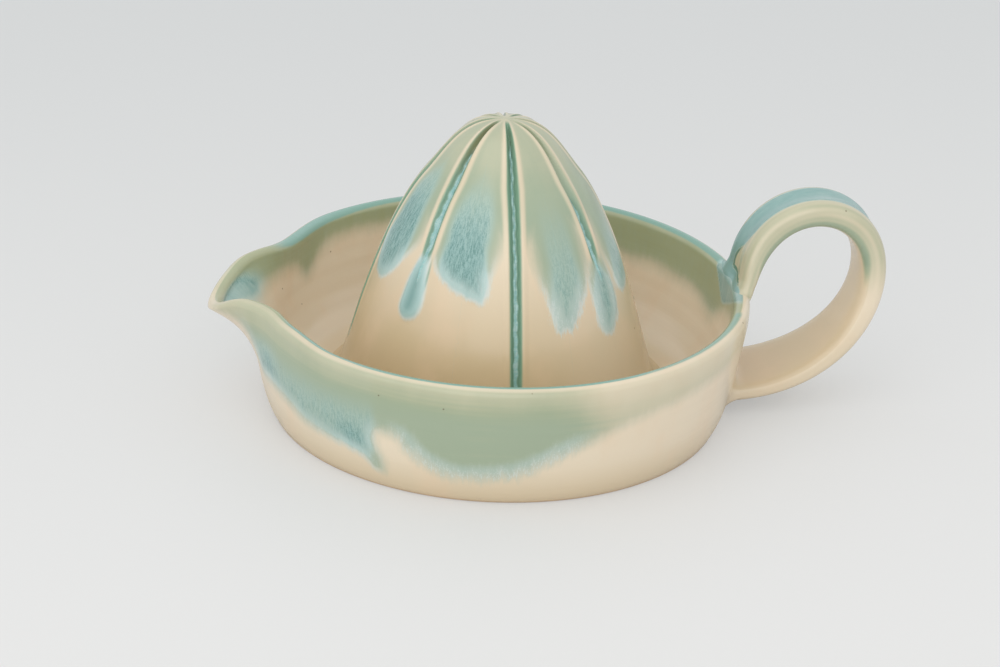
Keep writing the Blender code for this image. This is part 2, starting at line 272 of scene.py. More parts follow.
# %% Sizes of the dish
RIM_RADIUS = 75.0
RIM_HEIGHT = 38.9
LIP_RADIUS = 2.4
WALL_THICKNESS = 5.2
FLOOR_THICKNESS = 6.5
FOOT_RADIUS = 67.6
FOOT_CHAMFER = 0.9
HIP_BULGE = 3.4
COVE_WIDTH = 13.0
FLOOR_OPENING_RADIUS = 40.0
LIP_CENTRE_RADIUS = RIM_RADIUS - LIP_RADIUS
LIP_CENTRE_HEIGHT = RIM_HEIGHT - LIP_RADIUS
DISH_COLUMNS = 720

# %% Section of the dish


def lip(first, last, steps):
    """Points round the lip, 0 degrees being its outside and 90 its crest."""
    turn = np.radians(np.linspace(first, last, steps, endpoint=False))
    ring = LIP_RADIUS * np.stack([np.cos(turn), np.sin(turn)], 1)
    return ring + (LIP_CENTRE_RADIUS, LIP_CENTRE_HEIGHT)


foot = (FOOT_RADIUS, FOOT_CHAMFER)
under_lip = (RIM_RADIUS, LIP_CENTRE_HEIGHT - LIP_RADIUS)
foot_handle = (FOOT_RADIUS + HIP_BULGE, RIM_HEIGHT * 0.15)
lip_handle = (RIM_RADIUS - HIP_BULGE * 0.62, RIM_HEIGHT * 0.52)
wall_top = (LIP_CENTRE_RADIUS - LIP_RADIUS, LIP_CENTRE_HEIGHT)
wall_handle = (RIM_RADIUS - WALL_THICKNESS - 0.6, RIM_HEIGHT * 0.62)
cove_handle = (FOOT_RADIUS + HIP_BULGE * 0.9 - WALL_THICKNESS, FLOOR_THICKNESS)
cove_end = (FOOT_RADIUS - COVE_WIDTH, FLOOR_THICKNESS)
rounding = FOOT_CHAMFER * (1 - cos(pi / 4))
underside = [(FLOOR_OPENING_RADIUS + radius, 0) for radius in (0.8, 5, 10, 15, 20, 24)]
foot_edge = [(FOOT_RADIUS - FOOT_CHAMFER, 0), (FOOT_RADIUS - rounding, rounding)]
outside = np.concatenate([curve(foot, foot_handle, lip_handle, under_lip, 46), lip(0, 90, 9)])
inside = np.concatenate([lip(90, 180, 9), curve(wall_top, wall_handle, cove_handle, cove_end, 36)])
moat = [(FLOOR_OPENING_RADIUS + radius, FLOOR_THICKNESS) for radius in (14.6, 13, 11.5, 10, 7, 4, 0.8)]
opening = [(FLOOR_OPENING_RADIUS, FLOOR_THICKNESS - 0.8), (FLOOR_OPENING_RADIUS, 0.8)]
dish_section = np.concatenate([underside, foot_edge, outside, inside, moat, opening])
first_outside = len(underside) + len(foot_edge)
crest = first_outside + len(outside)
last_inside = crest + len(inside)
from_crest = lengths(dish_section)
from_crest = from_crest - from_crest[crest]
wall_length = np.ptp(from_crest[first_outside:crest])
print("dish section:", len(dish_section), "points, wall", round(wall_length, 1), "mm")

# %% Sizes of the spout
SPOUT_AZIMUTH = 174.8
SPOUT_OUT = 11.9
SPOUT_HALF_ANGLE = 21.5
SPOUT_DEPTH = 22.0
SPOUT_TIP_DROP = 5.6
SPOUT_TIP_HALF_ANGLE = 13.0
SPOUT_CORNER_RISE = 1.7
SPOUT_CORNER_ANGLE = 15.5
SPOUT_CORNER_HALF_ANGLE = 12.0
SPOUT_PINCH = 1.9
SPOUT_PINCH_ANGLE = 29.0
SPOUT_PINCH_HALF_ANGLE = 18.0
SPOUT_CROWDING = 0.60

# %% Throw the dish and pull its spout


def pulled(radius, angle, height):
    """Where the potter's fingers leave a point of the wall, angle being degrees from the spout's middle."""
    share = np.clip((height - (LIP_CENTRE_HEIGHT - SPOUT_DEPTH)) / SPOUT_DEPTH, 0, 1) ** 2
    out = SPOUT_OUT * bell(angle, SPOUT_HALF_ANGLE)
    pinch = SPOUT_PINCH * bell(np.abs(angle) - SPOUT_PINCH_ANGLE, SPOUT_PINCH_HALF_ANGLE)
    corners = SPOUT_CORNER_RISE * bell(np.abs(angle) - SPOUT_CORNER_ANGLE, SPOUT_CORNER_HALF_ANGLE)
    drop = SPOUT_TIP_DROP * bell(angle, SPOUT_TIP_HALF_ANGLE)
    return radius + share * (out - pinch), height + share * (corners - drop)


dish = to_mesh("dish_glazed", thrown(dish_section, True, DISH_COLUMNS))
clay = positions(dish)
turn = np.arctan2(clay[:, 1], clay[:, 0])
dish_angle = np.degrees(turn - SPOUT_CROWDING * np.sin(turn))
dish_azimuth = degrees_from(SPOUT_AZIMUTH + dish_angle, 0)
thrown_height = clay[:, 2].copy()
thrown_radius = np.hypot(clay[:, 0], clay[:, 1])
dish_radius, dish_height = pulled(thrown_radius, dish_angle, thrown_height)
dish_turn = np.radians(dish_azimuth)
move(dish, around(dish_radius, dish_turn, dish_height))
print("dish:", len(dish.vertices), "vertices, spout reaches", round(dish_radius.max(), 1), "mm")

# %% [markdown]
# ## The glaze on the dish
#
# Poured over the rim, the coloured glaze left the crest thin and teal, gathered below it and slid down the
# wall in broad lobes that end in pale ragged hems. Inside it stayed in an olive band under the rim. The
# hems are lists of azimuth and height, and from them come the maps: `run` is the distance inside a hem,
# `crisp` how sharply it ends, `body` how much coloured glaze there is, and `blue` where it is thick.

# %% Hems of the dish
OUTER_HEM = [
    (-180, 33), (-175, 31), (-172, 18), (-164, 17.5), (-156, 16), (-150, 13.2), (-144, 12.2), (-139, 11.4),
    (-134, 10.6), (-130.5, 9), (-128.5, 6.4), (-126, 6.6), (-126, 11), (-127.6, 16), (-126.5, 20),
    (-122, 19.5), (-119, 15.3), (-114, 11.2), (-109.5, 9.2), (-104.8, 8.8), (-99, 9.4), (-93, 11.2),
    (-88, 14.2), (-82, 18), (-75, 22), (-66, 26), (-51, 28.4), (-36, 30), (-25, 30), (-20, 22), (-16, 13),
    (-12, 22), (-6, 30), (6, 30), (16, 20), (26, 16), (37, 24), (50, 26), (64, 20), (76, 13), (88, 9),
    (100, 12), (112, 21), (121, 23), (128, 16), (137, 11), (148, 13), (158, 19), (166, 29), (173, 33),
]
INNER_HEM = [
    (-170, 30), (-150, 30), (-130, 28), (-110, 29.5), (-90, 27), (-70, 29), (-50, 30), (-30, 28), (-12, 30),
    (0, 27), (8, 22), (18, 24.6), (28, 25.6), (37, 26), (46, 25.6), (60, 28), (75, 24), (90, 28),
    (105, 30.5), (118, 31.8), (129, 31.6), (134, 29.4), (138, 25.8), (141.3, 24.2), (144, 26.5), (147, 29.6),
    (153, 31.4), (161, 30.6), (166, 28), (174, 28.5), (182, 29.5),
]
OUTER_WALL_RADIUS = 72
INNER_WALL_RADIUS = 68
DISH_FLOW_RADIUS = 65
HEM_RELIEF = 0.10
RING_RELIEF = 0.012
SPIRAL_RELIEF = 0.05

# %% Glaze maps of the dish
dish_place = numbers(dish, "place")
crest_arc = from_crest[dish_place]
is_outside = (dish_place >= first_outside) & (dish_place < crest)
is_inside = (dish_place >= crest) & (dish_place < last_inside)
outer_run = np.full(len(dish_place), -FAR)
inner_run = np.full(len(dish_place), -FAR)
for face, depth, hem, radius in (
    (is_outside, outer_run, OUTER_HEM, OUTER_WALL_RADIUS),
    (is_inside, inner_run, INNER_HEM, INNER_WALL_RADIUS),
):
    depth[face] = hem_depth(dish_azimuth[face], dish_height[face], hem, radius)
dish_run = np.maximum(outer_run, inner_run)


def sector(first, last, soft=6):
    """1 between two azimuths of the dish, falling to 0 over soft degrees beyond them."""
    return rise(dish_azimuth, first - soft, first) * (1 - rise(dish_azimuth, last, last + soft))


def beside(azimuth, half_width):
    """1 at an azimuth of the dish, falling to 0 at half_width degrees on either side."""
    return bell(degrees_from(dish_azimuth, azimuth), half_width)


def coat(outer, inner):
    """A map with these values outside and inside the dish, and 0 on the rest of it."""
    return np.where(is_outside, outer, np.where(is_inside, inner, 0.0))


left_run = sector(-172, -129, 4)
front_lobe = sector(-118, -84, 10)
right_band = sector(-72, -8, 16)
back_lobes = np.maximum(sector(70, 112), sector(130, 165))

# %% How much coloured glaze, and what it turned into
gathered = 1 - rise(dish_height, 24, 37)
near_tip = rise(dish_angle, -32, -14) * (1 - rise(dish_angle, 18, 34))
# The cream line on the lip's outer shoulder is partly glaze breaking thin over the edge and partly a painted
# highlight along the rim.
lip_break_and_highlight = rise(crest_arc, -2.1, -1.3)
outer_body = (0.52 + 0.48 * gathered) * (1 - (0.5 - 0.35 * near_tip) * lip_break_and_highlight)
outer_body = outer_body * (1 - 0.52 * right_band)
under_spout = bell(dish_angle, 16) * rise(dish_height, 27, 34)
outer_body = outer_body * (1 - 0.3 * under_spout)
inner_body = (0.6 + 0.4 * rise(crest_arc, 2.4, 4.2)) * (0.5 + 0.5 * rise(inner_run, -1, 7))
dish_body = coat(outer_body, inner_body)

outer_blue = left_run * rise(outer_run, 0.3, 2.0) * (0.57 - 0.42 * rise(dish_height, 20, 32))
outer_blue = outer_blue + 0.3 * beside(-166, 9) * (1 - rise(dish_height, 27, 34))
outer_blue = outer_blue + 0.25 * beside(-134, 8) * (1 - rise(dish_height, 15, 22))
outer_blue = outer_blue + 0.6 * back_lobes * rise(outer_run, 0.3, 2.0) * (1 - rise(outer_run, 5, 12))
outer_blue = outer_blue + 0.35 * front_lobe * bell(outer_run - 3, 4)
green_tip = beside(-127, 3.6) * (1 - rise(dish_height, 10, 15))
outer_blue = np.clip(outer_blue, 0, 1) * (1 - green_tip)
spout_pool = 1.4 * beside(169.5, 12) * bell(dish_height - 31, 8.5) * rise(crest_arc, 1.5, 4)
spout_pool = np.minimum(spout_pool, 1)
from_joint = dish_azimuth - 3
pool_floor = 27.6 + 0.95 * np.sqrt(from_joint**2 + 3) + 0.35 * from_joint
handle_pool = rise(dish_height - pool_floor, -0.6, 1.8)
pools = np.maximum(spout_pool, handle_pool) * is_inside
calm_run = np.minimum(dish_run, 6.7 - 3.3 * handle_pool - 4.2 * spout_pool)
dish_run = np.where(is_inside, calm_run, dish_run)
# Pale blue along the far crest is partly paler glaze and partly a painted highlight where the crest catches
# the light.
rim_blue_and_highlight = 0.35 * bell(crest_arc - 0.8, 1.6) * beside(138, 26)
inner_blue = np.maximum(pools, rim_blue_and_highlight)
dish_blue = coat(outer_blue, inner_blue)
outer_olive = 0.4 * rise(dish_height, 26, 35)
inner_olive = (1 - inner_blue) * rise(dish_height, 23, 30) * (1 - 0.6 * bell(dish_angle, 20))
dish_olive = coat(outer_olive, inner_olive)

# %% The teal line on the crest, warmer clay with painted shade inside, and how each hem ends
near_side = sector(-150, -40, 24)
line_start = -0.9 + 0.4 * near_side + 0.5 * sector(-172, -140, 12)
line_end = 1.3 + 1.3 * beside(139, 34)
crest_line = rise(crest_arc - line_start, -0.4, 0.4) * (1 - rise(crest_arc - line_end, -0.6, 1.2))
crest_line = crest_line * (1 - 0.95 * near_tip) * (1 - sector(-19, 8, 3)) * (1 - 0.5 * sector(-60, -19, 12))
dish_line = crest_line * (is_outside | is_inside)
outer_warm = 0.08 + 0.5 * (1 - rise(dish_height, 1, 16))
# Outside, buff near the foot is glaze thinning. Inside, buff towards the reamer's foot is painted shade in
# the recess round it.
dish_warm = np.where(is_outside, outer_warm, 0.06 + 0.42 * (1 - rise(dish_radius, 52, 64)))
dish_bare = np.where(dish_place < first_outside, 1.0, 0.0)
dish_crisp = np.where(is_outside, 0.15 + 0.5 * left_run * rise(dish_azimuth, -150, -136), 0.0)
dish_frost = np.where(is_outside, 0.55 * np.maximum(left_run, back_lobes) + 0.9 * front_lobe, 0.1)
dish_ragged = np.where(is_outside, 0.35 + 0.45 * front_lobe, 0.35)

# %% Thick glaze and throwing lines on the dish
dish_relief = HEM_RELIEF * rise(dish_run, -0.2, 1.8) * np.maximum(dish_crisp, 0.3 * dish_frost) * dish_body
rings = np.sin(dish_height * 1.35 + 0.8 * np.sin(dish_turn)) * is_outside
dish_relief += RING_RELIEF * rings * rise(dish_height, 3, 8)
spiral = np.sin(from_crest[dish_place] * 1.1 + dish_turn)
clear_of_reamer = rise(dish_radius, 55, 60) * (dish_place >= crest)
dish_relief += SPIRAL_RELIEF * spiral * rise(crest_arc, 6, 12) * clear_of_reamer
swell(dish, dish_relief)
paint(
    dish,
    run=dish_run,
    crisp=dish_crisp,
    frost=dish_frost,
    ragged=dish_ragged,
    body=dish_body,
    blue=dish_blue,
    olive=dish_olive,
    line=dish_line,
    warm=dish_warm,
    bare=dish_bare,
    flow=around(DISH_FLOW_RADIUS, dish_turn, crest_arc),
)
finish_piece(dish, "dish")

# %% [markdown]
# ## The reamer
#
# A hollow dome, thrown with the dish and carved while it was leather hard. A round tool drawn from the tip
# down left eight grooves that fade at different heights, each with a soft ridge on both sides. The section
# is spun in many columns, gathered at the grooves, and each vertex is then pressed in or pushed out.

# %% Sizes of the reamer
REAMER_HEIGHT = 91.8
REAMER_RADIUS = 46.5
REAMER_RADIUS_HEIGHT = 15.0
REAMER_TIP_FULLNESS = 12.7
REAMER_CROWN = np.array((23.0, 74.9))
REAMER_CROWN_SLOPE = radians(51.8)
REAMER_CROWN_PULL = 10.9
REAMER_SIDE_PULL = 18.4
REAMER_BASE_PULL = 14.9
REAMER_BASE_TAPER = 4.6
REAMER_SHOULDER_RADIUS = 34.4
REAMER_SHOULDER_HEIGHT = 55.0
REAMER_WALL = 6.0
REAMER_TIP_WALL = 10.0
REAMER_FOOT_END = 53.5
REAMER_LEAN = 0.42
REAMER_LEAN_HEIGHT = 85
REAMER_LEAN_AZIMUTH = radians(170)
GROOVE_WIDTH = 3.2
GROOVE_DEPTH = 1.5
CREST_WIDTH = 2.4
CREST_RISE = 0.25
GROOVE_START_RADIUS = 0.8
GROOVE_FULL_RADIUS = 9.0
GROOVE_COLUMNS = 80
REAMER_FLOW_RADIUS = 32
BEAD_RELIEF = 0.5
NO_GROOVE = 99.0

# %% Grooves
# Azimuth, height where the tool lifts, height where the green ends, green left near the tip and how mossy it
# is there, and the bead's top, bottom and half width.
GROOVES = [
    (-188, 21, 21, 0.6, 0.6, 30, 24, 0.3),
    (-140.8, 50, 57, 0.9, 1.0, 88, 50, 0.95),
    (-91.8, 8, 8, 1.0, 0.1, 91, 4, 0.72),
    (-43.4, 50, 56, 0.3, 1.0, 76, 50, 0.7),
    (-1, 30, 30, 0.25, 0.6, 84, 34, 0.5),
    (44, 12, 12, 0.8, 0.3, 86, 12, 0.6),
    (88, 46, 53, 0.8, 1.0, 82, 48, 0.9),
    (130, 24, 24, 0.4, 0.6, 84, 28, 0.5),
]

# %% Section of the reamer
tip = (0, REAMER_HEIGHT)
base = (REAMER_RADIUS, REAMER_RADIUS_HEIGHT)
tip_handle = (REAMER_TIP_FULLNESS, REAMER_HEIGHT)
crown_slope = np.array((cos(REAMER_CROWN_SLOPE), -sin(REAMER_CROWN_SLOPE)))
crown_handle = REAMER_CROWN - REAMER_CROWN_PULL * crown_slope
side_handle = REAMER_CROWN + REAMER_SIDE_PULL * crown_slope
base_handle = (REAMER_RADIUS - REAMER_BASE_TAPER, REAMER_RADIUS_HEIGHT + REAMER_BASE_PULL)
foot_end = (REAMER_FOOT_END, FLOOR_THICKNESS - 0.06)
foot_curve = curve(base, (REAMER_RADIUS + 1.2, 9.6), (REAMER_RADIUS + 2.4, FLOOR_THICKNESS), foot_end, 14)
crown_curve = curve(tip, tip_handle, crown_handle, REAMER_CROWN, 38)
side_curve = curve(REAMER_CROWN, side_handle, base_handle, base, 72)
dome = np.concatenate([crown_curve, side_curve, foot_curve, [foot_end]])
seat = [(REAMER_FOOT_END - 1, FLOOR_THICKNESS - 0.5), (FLOOR_OPENING_RADIUS + 0.3, FLOOR_THICKNESS - 0.5)]
inner_base = (REAMER_RADIUS - REAMER_WALL, REAMER_RADIUS_HEIGHT)
inner_shoulder = (REAMER_SHOULDER_RADIUS - REAMER_WALL, REAMER_SHOULDER_HEIGHT)
inner_tip = (0, REAMER_HEIGHT - REAMER_TIP_WALL)
inner_tip_handle = (REAMER_TIP_FULLNESS, REAMER_HEIGHT - REAMER_TIP_WALL)
hollow = np.concatenate([curve(inner_base, inner_shoulder, inner_tip_handle, inner_tip, 24), [inner_tip]])
reamer_section = np.concatenate([dome, seat, hollow])
dome_arc = lengths(dome)
print("reamer section:", len(reamer_section), "points, dome", round(dome_arc[-1], 1), "mm")

# %% Throw the reamer and gather its columns at the grooves


def groove_columns(turn):
    """Turns even columns so that eight grooves get more of them, at the azimuths where the potter cut."""
    count = len(GROOVES)
    middles = [groove[0] for groove in GROOVES]
    middles.append(middles[0] + 360)
    share = turn / tau * count
    gathered = share - 0.5 * np.sin(tau * share) / tau
    return np.interp(gathered, np.arange(count + 1), middles)


reamer = to_mesh("reamer_glazed", thrown(reamer_section, False, len(GROOVES) * GROOVE_COLUMNS))
clay = positions(reamer)
dome_place = numbers(reamer, "place")
on_dome = dome_place < len(dome)
turn = np.arctan2(clay[:, 1], clay[:, 0]) % tau
reamer_azimuth = groove_columns(turn)
reamer_radius = np.hypot(clay[:, 0], clay[:, 1])
reamer_height = clay[:, 2].copy()
reamer_turn = np.radians(reamer_azimuth)
lean = REAMER_LEAN * np.clip((reamer_height - FLOOR_THICKNESS) / REAMER_LEAN_HEIGHT, 0, 1)
lean_x = lean * cos(REAMER_LEAN_AZIMUTH)
lean_y = lean * sin(REAMER_LEAN_AZIMUTH)
on_wheel = around(reamer_radius, reamer_turn, reamer_height)
move(reamer, on_wheel + np.stack([lean_x, lean_y, np.zeros(len(lean))], 1))

# %% Carve the grooves
groove_across = np.full(len(turn), NO_GROOVE)
groove_depth, groove_line, groove_bead, groove_moss = np.zeros((4, len(turn)))
for azimuth, lift, green_end, green_top, moss, bead_top, bead_end, bead_half in GROOVES:
    across = np.radians(degrees_from(reamer_azimuth, azimuth)) * reamer_radius
    near = np.abs(across) < np.abs(groove_across)
    groove_across = np.where(near, across, groove_across)
    left = rise(reamer_height, lift, lift + 14)
    left = left * rise(reamer_radius, GROOVE_START_RADIUS, GROOVE_FULL_RADIUS)
    groove_depth = np.where(near, left, groove_depth)
    green = rise(reamer_height, green_end - 3, green_end + 3)
    green = green * (1 - (1 - green_top) * rise(reamer_height, 56, 78))
    groove_line = np.where(near, green, groove_line)
    groove_moss = np.where(near, moss * rise(reamer_height, 72, 88), groove_moss)
    grown = 1 - 0.6 * rise(reamer_height, bead_end + 16, bead_top)
    there = rise(reamer_height, bead_end - 3, bead_end + 7)
    there = there * (1 - rise(reamer_height, bead_top - 6, bead_top))
    groove_bead = np.where(near, bead_half * grown * there, groove_bead)
squeeze = np.clip(0.2 + 0.8 * reamer_radius / 21, 0.2, 1)
channel = np.abs(groove_across) / squeeze
pressed = np.cos(pi / 2 * np.clip(channel / (GROOVE_WIDTH / 2), 0, 1)) ** 1.5
ridge = bell(channel - GROOVE_WIDTH / 2 - CREST_WIDTH / 3, CREST_WIDTH / 1.5)
carving = (CREST_RISE * ridge - GROOVE_DEPTH * pressed) * groove_depth * on_dome
swell(reamer, carving)
print("grooves:", len(GROOVES), "deepest", round(-carving.min(), 2), "mm")

# %% [markdown]
# ## Runs on the reamer
#
# On each panel between two grooves the coloured glaze starts as a pale wash below the tip, turns celadon and
# then blue as it thickens, and stops in a white ragged hem. Two grooves overflow into a long drip. A run is
# one outline of azimuths and heights, rounded like the hems, with a row of numbers for its look.

# %% Outlines of the runs
LEFT_PANEL = [
    (-160, 91), (-150, 84), (-146, 76), (-147, 69), (-147.5, 63), (-150, 59), (-154.5, 54.5), (-159, 50.2),
    (-164, 47.2), (-169.5, 45.2), (-175.5, 45.2), (-181, 47.5), (-185, 55), (-187, 66), (-185, 78),
]
LEFT_DRIP = [
    (-141, 62), (-144.5, 57), (-147.5, 51), (-148.6, 45), (-148.6, 41.5), (-145.5, 39), (-141, 38.9),
    (-137, 41), (-135.5, 45), (-136, 49.5), (-137, 55), (-138, 60),
]
MIDDLE_PANEL = [
    (-117, 91), (-132, 84), (-139, 74), (-138.5, 64), (-134, 56), (-126, 51.5), (-117.5, 49.4), (-110.5, 48),
    (-106.5, 47.2), (-104.5, 50.5), (-103, 57), (-98, 66), (-95, 76), (-101, 86),
]
RIGHT_PANEL = [
    (-70, 91), (-84, 85), (-86, 74), (-83, 64), (-80, 56), (-77.5, 50), (-75.5, 45), (-74, 41),
    (-71.5, 39.2), (-69, 40), (-66, 39.3), (-62.5, 42), (-59.5, 45.5), (-55.5, 49), (-51.5, 54),
    (-49.5, 62), (-49.5, 74), (-57, 87),
]
RIGHT_DRIP = [
    (-42.5, 63), (-46.5, 58), (-50, 54.5), (-51.8, 48.5), (-51.6, 43), (-50.8, 39), (-48.5, 35.3),
    (-45, 34.6), (-41, 36), (-37.5, 38.5), (-35, 42), (-34.2, 47), (-35.5, 53), (-38.5, 59),
]
EDGE_PANEL = [
    (-24, 91), (-38, 84), (-39.5, 72), (-36, 60), (-33, 53), (-32, 48), (-30, 44.5), (-25, 43), (-19, 43.2),
    (-13, 45), (-8, 52), (-5.5, 62), (-5, 74), (-10, 84),
]


def turned(outline, degrees, drop=0):
    """The same outline further round the reamer, and a little lower."""
    return [(azimuth + degrees, height - drop * (height < 60)) for azimuth, height in outline]


# %% The runs
# Each outline, the heights between which its blue and its crisp edge come and go, how blue it is, how thick
# in millimetres, how white its hem, and how ragged.
DRIP = (90, 99)
RUNS = [
    (LEFT_PANEL, (64, 92), (52, 64), 0.85, 0.3, 0.5, 0.3),
    (LEFT_DRIP, DRIP, DRIP, 1.0, 0.7, 0.1, 0.1),
    (MIDDLE_PANEL, (60, 90), (52, 64), 0.9, 0.3, 0.6, 0.35),
    (RIGHT_PANEL, (52, 84), (44, 60), 0.56, 0.2, 1.0, 0.8),
    (RIGHT_DRIP, DRIP, (44, 60), 0.7, 0.35, 1.0, 0.6),
    (EDGE_PANEL, (50, 74), (46, 60), 0.62, 0.3, 0.8, 0.5),
    (turned(MIDDLE_PANEL, 140, 4), (60, 84), (44, 54), 0.9, 0.3, 0.6, 0.4),
    (turned(RIGHT_PANEL, 134), (52, 86), (38, 50), 0.8, 0.2, 1.0, 0.9),
    (turned(LEFT_DRIP, 228.8), DRIP, DRIP, 1.0, 0.7, 0.3, 0.12),
    (turned(LEFT_PANEL, 272, 5), (66, 88), (42, 54), 0.9, 0.3, 0.5, 0.3),
    (turned(RIGHT_PANEL, -141, -3), (54, 84), (42, 54), 0.8, 0.2, 1.0, 0.9),
]

# %% Glaze maps of the reamer
height_of_arc = dome_arc[np.minimum(dome_place, len(dome) - 1)]
rising = dome[::-1]
rising_arc = dome_arc[::-1]
reamer_run = np.full(len(turn), -FAR)
reamer_ragged = np.full(len(turn), 0.5)
reamer_crisp, reamer_frost, reamer_blue, reamer_relief = np.zeros((4, len(turn)))
for stations, blue_heights, crisp_heights, blueness, thickness, frost, ragged in RUNS:
    line = rounded(stations)
    middle = line[:, 0].mean()
    line_radius = np.interp(line[:, 1], rising[:, 1], rising[:, 0])
    line_arc = np.interp(line[:, 1], rising[:, 1], rising_arc)
    flat_line = np.stack([np.radians(line[:, 0] - middle) * line_radius, line_arc], 1)
    u = np.radians(degrees_from(reamer_azimuth, middle)) * reamer_radius
    depth = np.where(on_dome, depth_inside(u, height_of_arc, flat_line), -FAR)
    wins = depth > reamer_run
    crisp = 1 - rise(reamer_height, *crisp_heights)
    blue = 1 - rise(reamer_height, *blue_heights)
    core = rise(depth, -0.2 + 1.8 * (1 - crisp), 0.7 + 5.5 * (1 - crisp))
    edge = rise(depth, -0.1, 1.6)
    reamer_run = np.where(wins, depth, reamer_run)
    reamer_crisp = np.where(wins, crisp, reamer_crisp)
    reamer_frost = np.where(wins, crisp * frost, reamer_frost)
    reamer_ragged = np.where(wins, ragged * (0.4 + 0.6 * crisp), reamer_ragged)
    reamer_blue = np.where(wins, blue * core * blueness, reamer_blue)
    reamer_relief = np.where(wins, thickness * edge * crisp, reamer_relief)

# %% The wash below the tip, the glaze in the grooves, and painted shade low down and in a crease
wash = rise(reamer_height, 54, 76) * on_dome
reamer_body = np.where(reamer_run > -2, 1 - 0.42 * rise(reamer_height, 62, 86), 0.58 * wash)
reamer_run = np.maximum(reamer_run, 9 * wash - 4)
beside_groove = groove_line * (1 - rise(np.abs(groove_across), 2.0 * squeeze, 1.2 + 3.2 * squeeze))
shed = 1 - beside_groove * (0.75 - 0.5 * rise(reamer_height, 60, 80))
on_crest = bell(channel - 2.6, 1.6) * groove_depth * on_dome
reamer_body = reamer_body * shed * (1 - 0.55 * on_crest)
reamer_blue = reamer_blue * rise(shed, 0.2, 0.95)
bead_wander = 0.12 * np.sin(height_of_arc * 1.31) + 0.1 * np.sin(height_of_arc * 0.47 + 1)
bead_across = groove_across + bead_wander * on_dome
bead_relief = BEAD_RELIEF * bell(bead_across, np.maximum(groove_bead * 1.6, 0.01)) * (groove_bead > 0.05)
swell(reamer, (reamer_relief + bead_relief) * on_dome)
groove_green = (1 - rise(channel, 0.8, 2.5)) * groove_line
# A dark green line beside the left drip is partly glaze in the crease and partly painted shade.
drip_crease_shade = bell(groove_across - 2.5, 0.8) * bell(reamer_height - 52, 9)
drip_crease_shade = drip_crease_shade * bell(degrees_from(reamer_azimuth, -137), 6)
groove_green = np.maximum(groove_green, 0.6 * drip_crease_shade) * rise(reamer_radius, 1, 5) * on_dome
# Buff grows towards the reamer's foot: partly thinner cream glaze, partly painted shade low in the dish.
# Lighter round azimuth -50 is painted light falling across the sides.
painted_side_shade = 1 - 0.5 * bell(degrees_from(reamer_azimuth, -50), 45)
reamer_warm = np.where(on_dome, 0.22 + 0.76 * painted_side_shade * (1 - rise(reamer_height, 20, 70)), 0.75)
paint(
    reamer,
    run=reamer_run,
    crisp=reamer_crisp,
    frost=reamer_frost,
    ragged=reamer_ragged,
    body=reamer_body,
    blue=reamer_blue,
    olive=groove_moss * groove_green,
    line=groove_green,
    bead=groove_bead * on_dome,
    across=bead_across,
    warm=reamer_warm,
    bare=np.where(on_dome, 0.0, 0.5),
    flow=around(REAMER_FLOW_RADIUS, reamer_turn, height_of_arc),
)
finish_piece(reamer, "reamer")

# %% [markdown]
# ## The handle
#
# A strap is pulled by hand from a lump of clay, bent into a loop and luted on: pressed over the rim with a
# ledge inside it, and smeared into the foot of the wall. A flat grid rolled up round the loop makes it. Each
# of its long lines ends exactly on the dish, and flares there in a quarter circle, as a smeared joint does.

# %% Sizes of the handle
HANDLE_REACH = 118.0
HANDLE_WIDEST_HEIGHT = 41.5
HANDLE_TOP_PULL = 25.7
HANDLE_LOWER_PULL = 16.8
HANDLE_RIM_DEPTH = 8.5
HANDLE_NECK_RISE = 2.6
HANDLE_NECK_INSET = 0.4
HANDLE_NECK_PULL = 27.8
HANDLE_NECK_LEAN = 4.7
HANDLE_WALL_HEIGHT = 6.4
HANDLE_WALL_DEPTH = 5.0
HANDLE_WALL_SWEEP = 32.3
HANDLE_WALL_DIP = 0.9
STRAP_WIDTH = 17.2
STRAP_THICKNESS = 9.0
STRAP_RIM_WIDTH = 24.4
STRAP_RIM_THICKNESS = 4.4
STRAP_RIM_BLEND = 30.0
STRAP_WALL_WIDTH = 30.0
STRAP_WALL_THICKNESS = 6.5
STRAP_WALL_BLEND = 80.0
STRAP_LEDGE_DEPTH = 0.9
STRAP_LEDGE_LENGTH = 5.8
STRAP_GROOVE_DEPTH = 1.0
STRAP_GROOVE_WIDTH = 9.0
STRAP_WRAP_LENGTH = 16.0
STRAP_FULLNESS = 0.62
STRAP_LINES = 128
STRAP_RINGS = 200
LOOP_CENTRE = (92, 35)
STRAP_FLOW_RADIUS = 8

# Distances from the rim, the wall and the lip where the strap's section is plain. Then the steps of its
# middle line where a line's way of facing is read: near the rim, on the plain strap and near the wall.
PLAIN_STRAP = (60.0, 90.0, 30.0)
RIM_STEP = 20
PLAIN_STEP = 200
WALL_STEP = -10
POOL_RELIEF = 0.06
LOWEST_CLAY = 0.15

# %% Middle line of the strap
buried = np.array((LIP_CENTRE_RADIUS - 0.8, RIM_HEIGHT - HANDLE_RIM_DEPTH))
neck = np.array((RIM_RADIUS - HANDLE_NECK_INSET, RIM_HEIGHT + HANDLE_NECK_RISE))
outermost = np.array((HANDLE_REACH - STRAP_THICKNESS / 2, HANDLE_WIDEST_HEIGHT))
wall_end = np.array((FOOT_RADIUS + HIP_BULGE - HANDLE_WALL_DEPTH, HANDLE_WALL_HEIGHT))
lift = curve(buried, buried + (neck - buried) / 3, buried + (neck - buried) / 1.5, neck, 40)
neck_handle = neck + (HANDLE_NECK_LEAN, HANDLE_NECK_PULL)
over = curve(neck, neck_handle, outermost + (0, HANDLE_TOP_PULL), outermost, 160)
wall_sweep = wall_end + (HANDLE_WALL_SWEEP, -HANDLE_WALL_DIP)
under = curve(outermost, outermost - (0, HANDLE_LOWER_PULL), wall_sweep, wall_end, 200)
strap_path = np.concatenate([lift, over, under, [wall_end]])
strap_length = lengths(strap_path)
print("strap:", round(strap_length[-1], 1), "mm long")

# %% Section of the strap


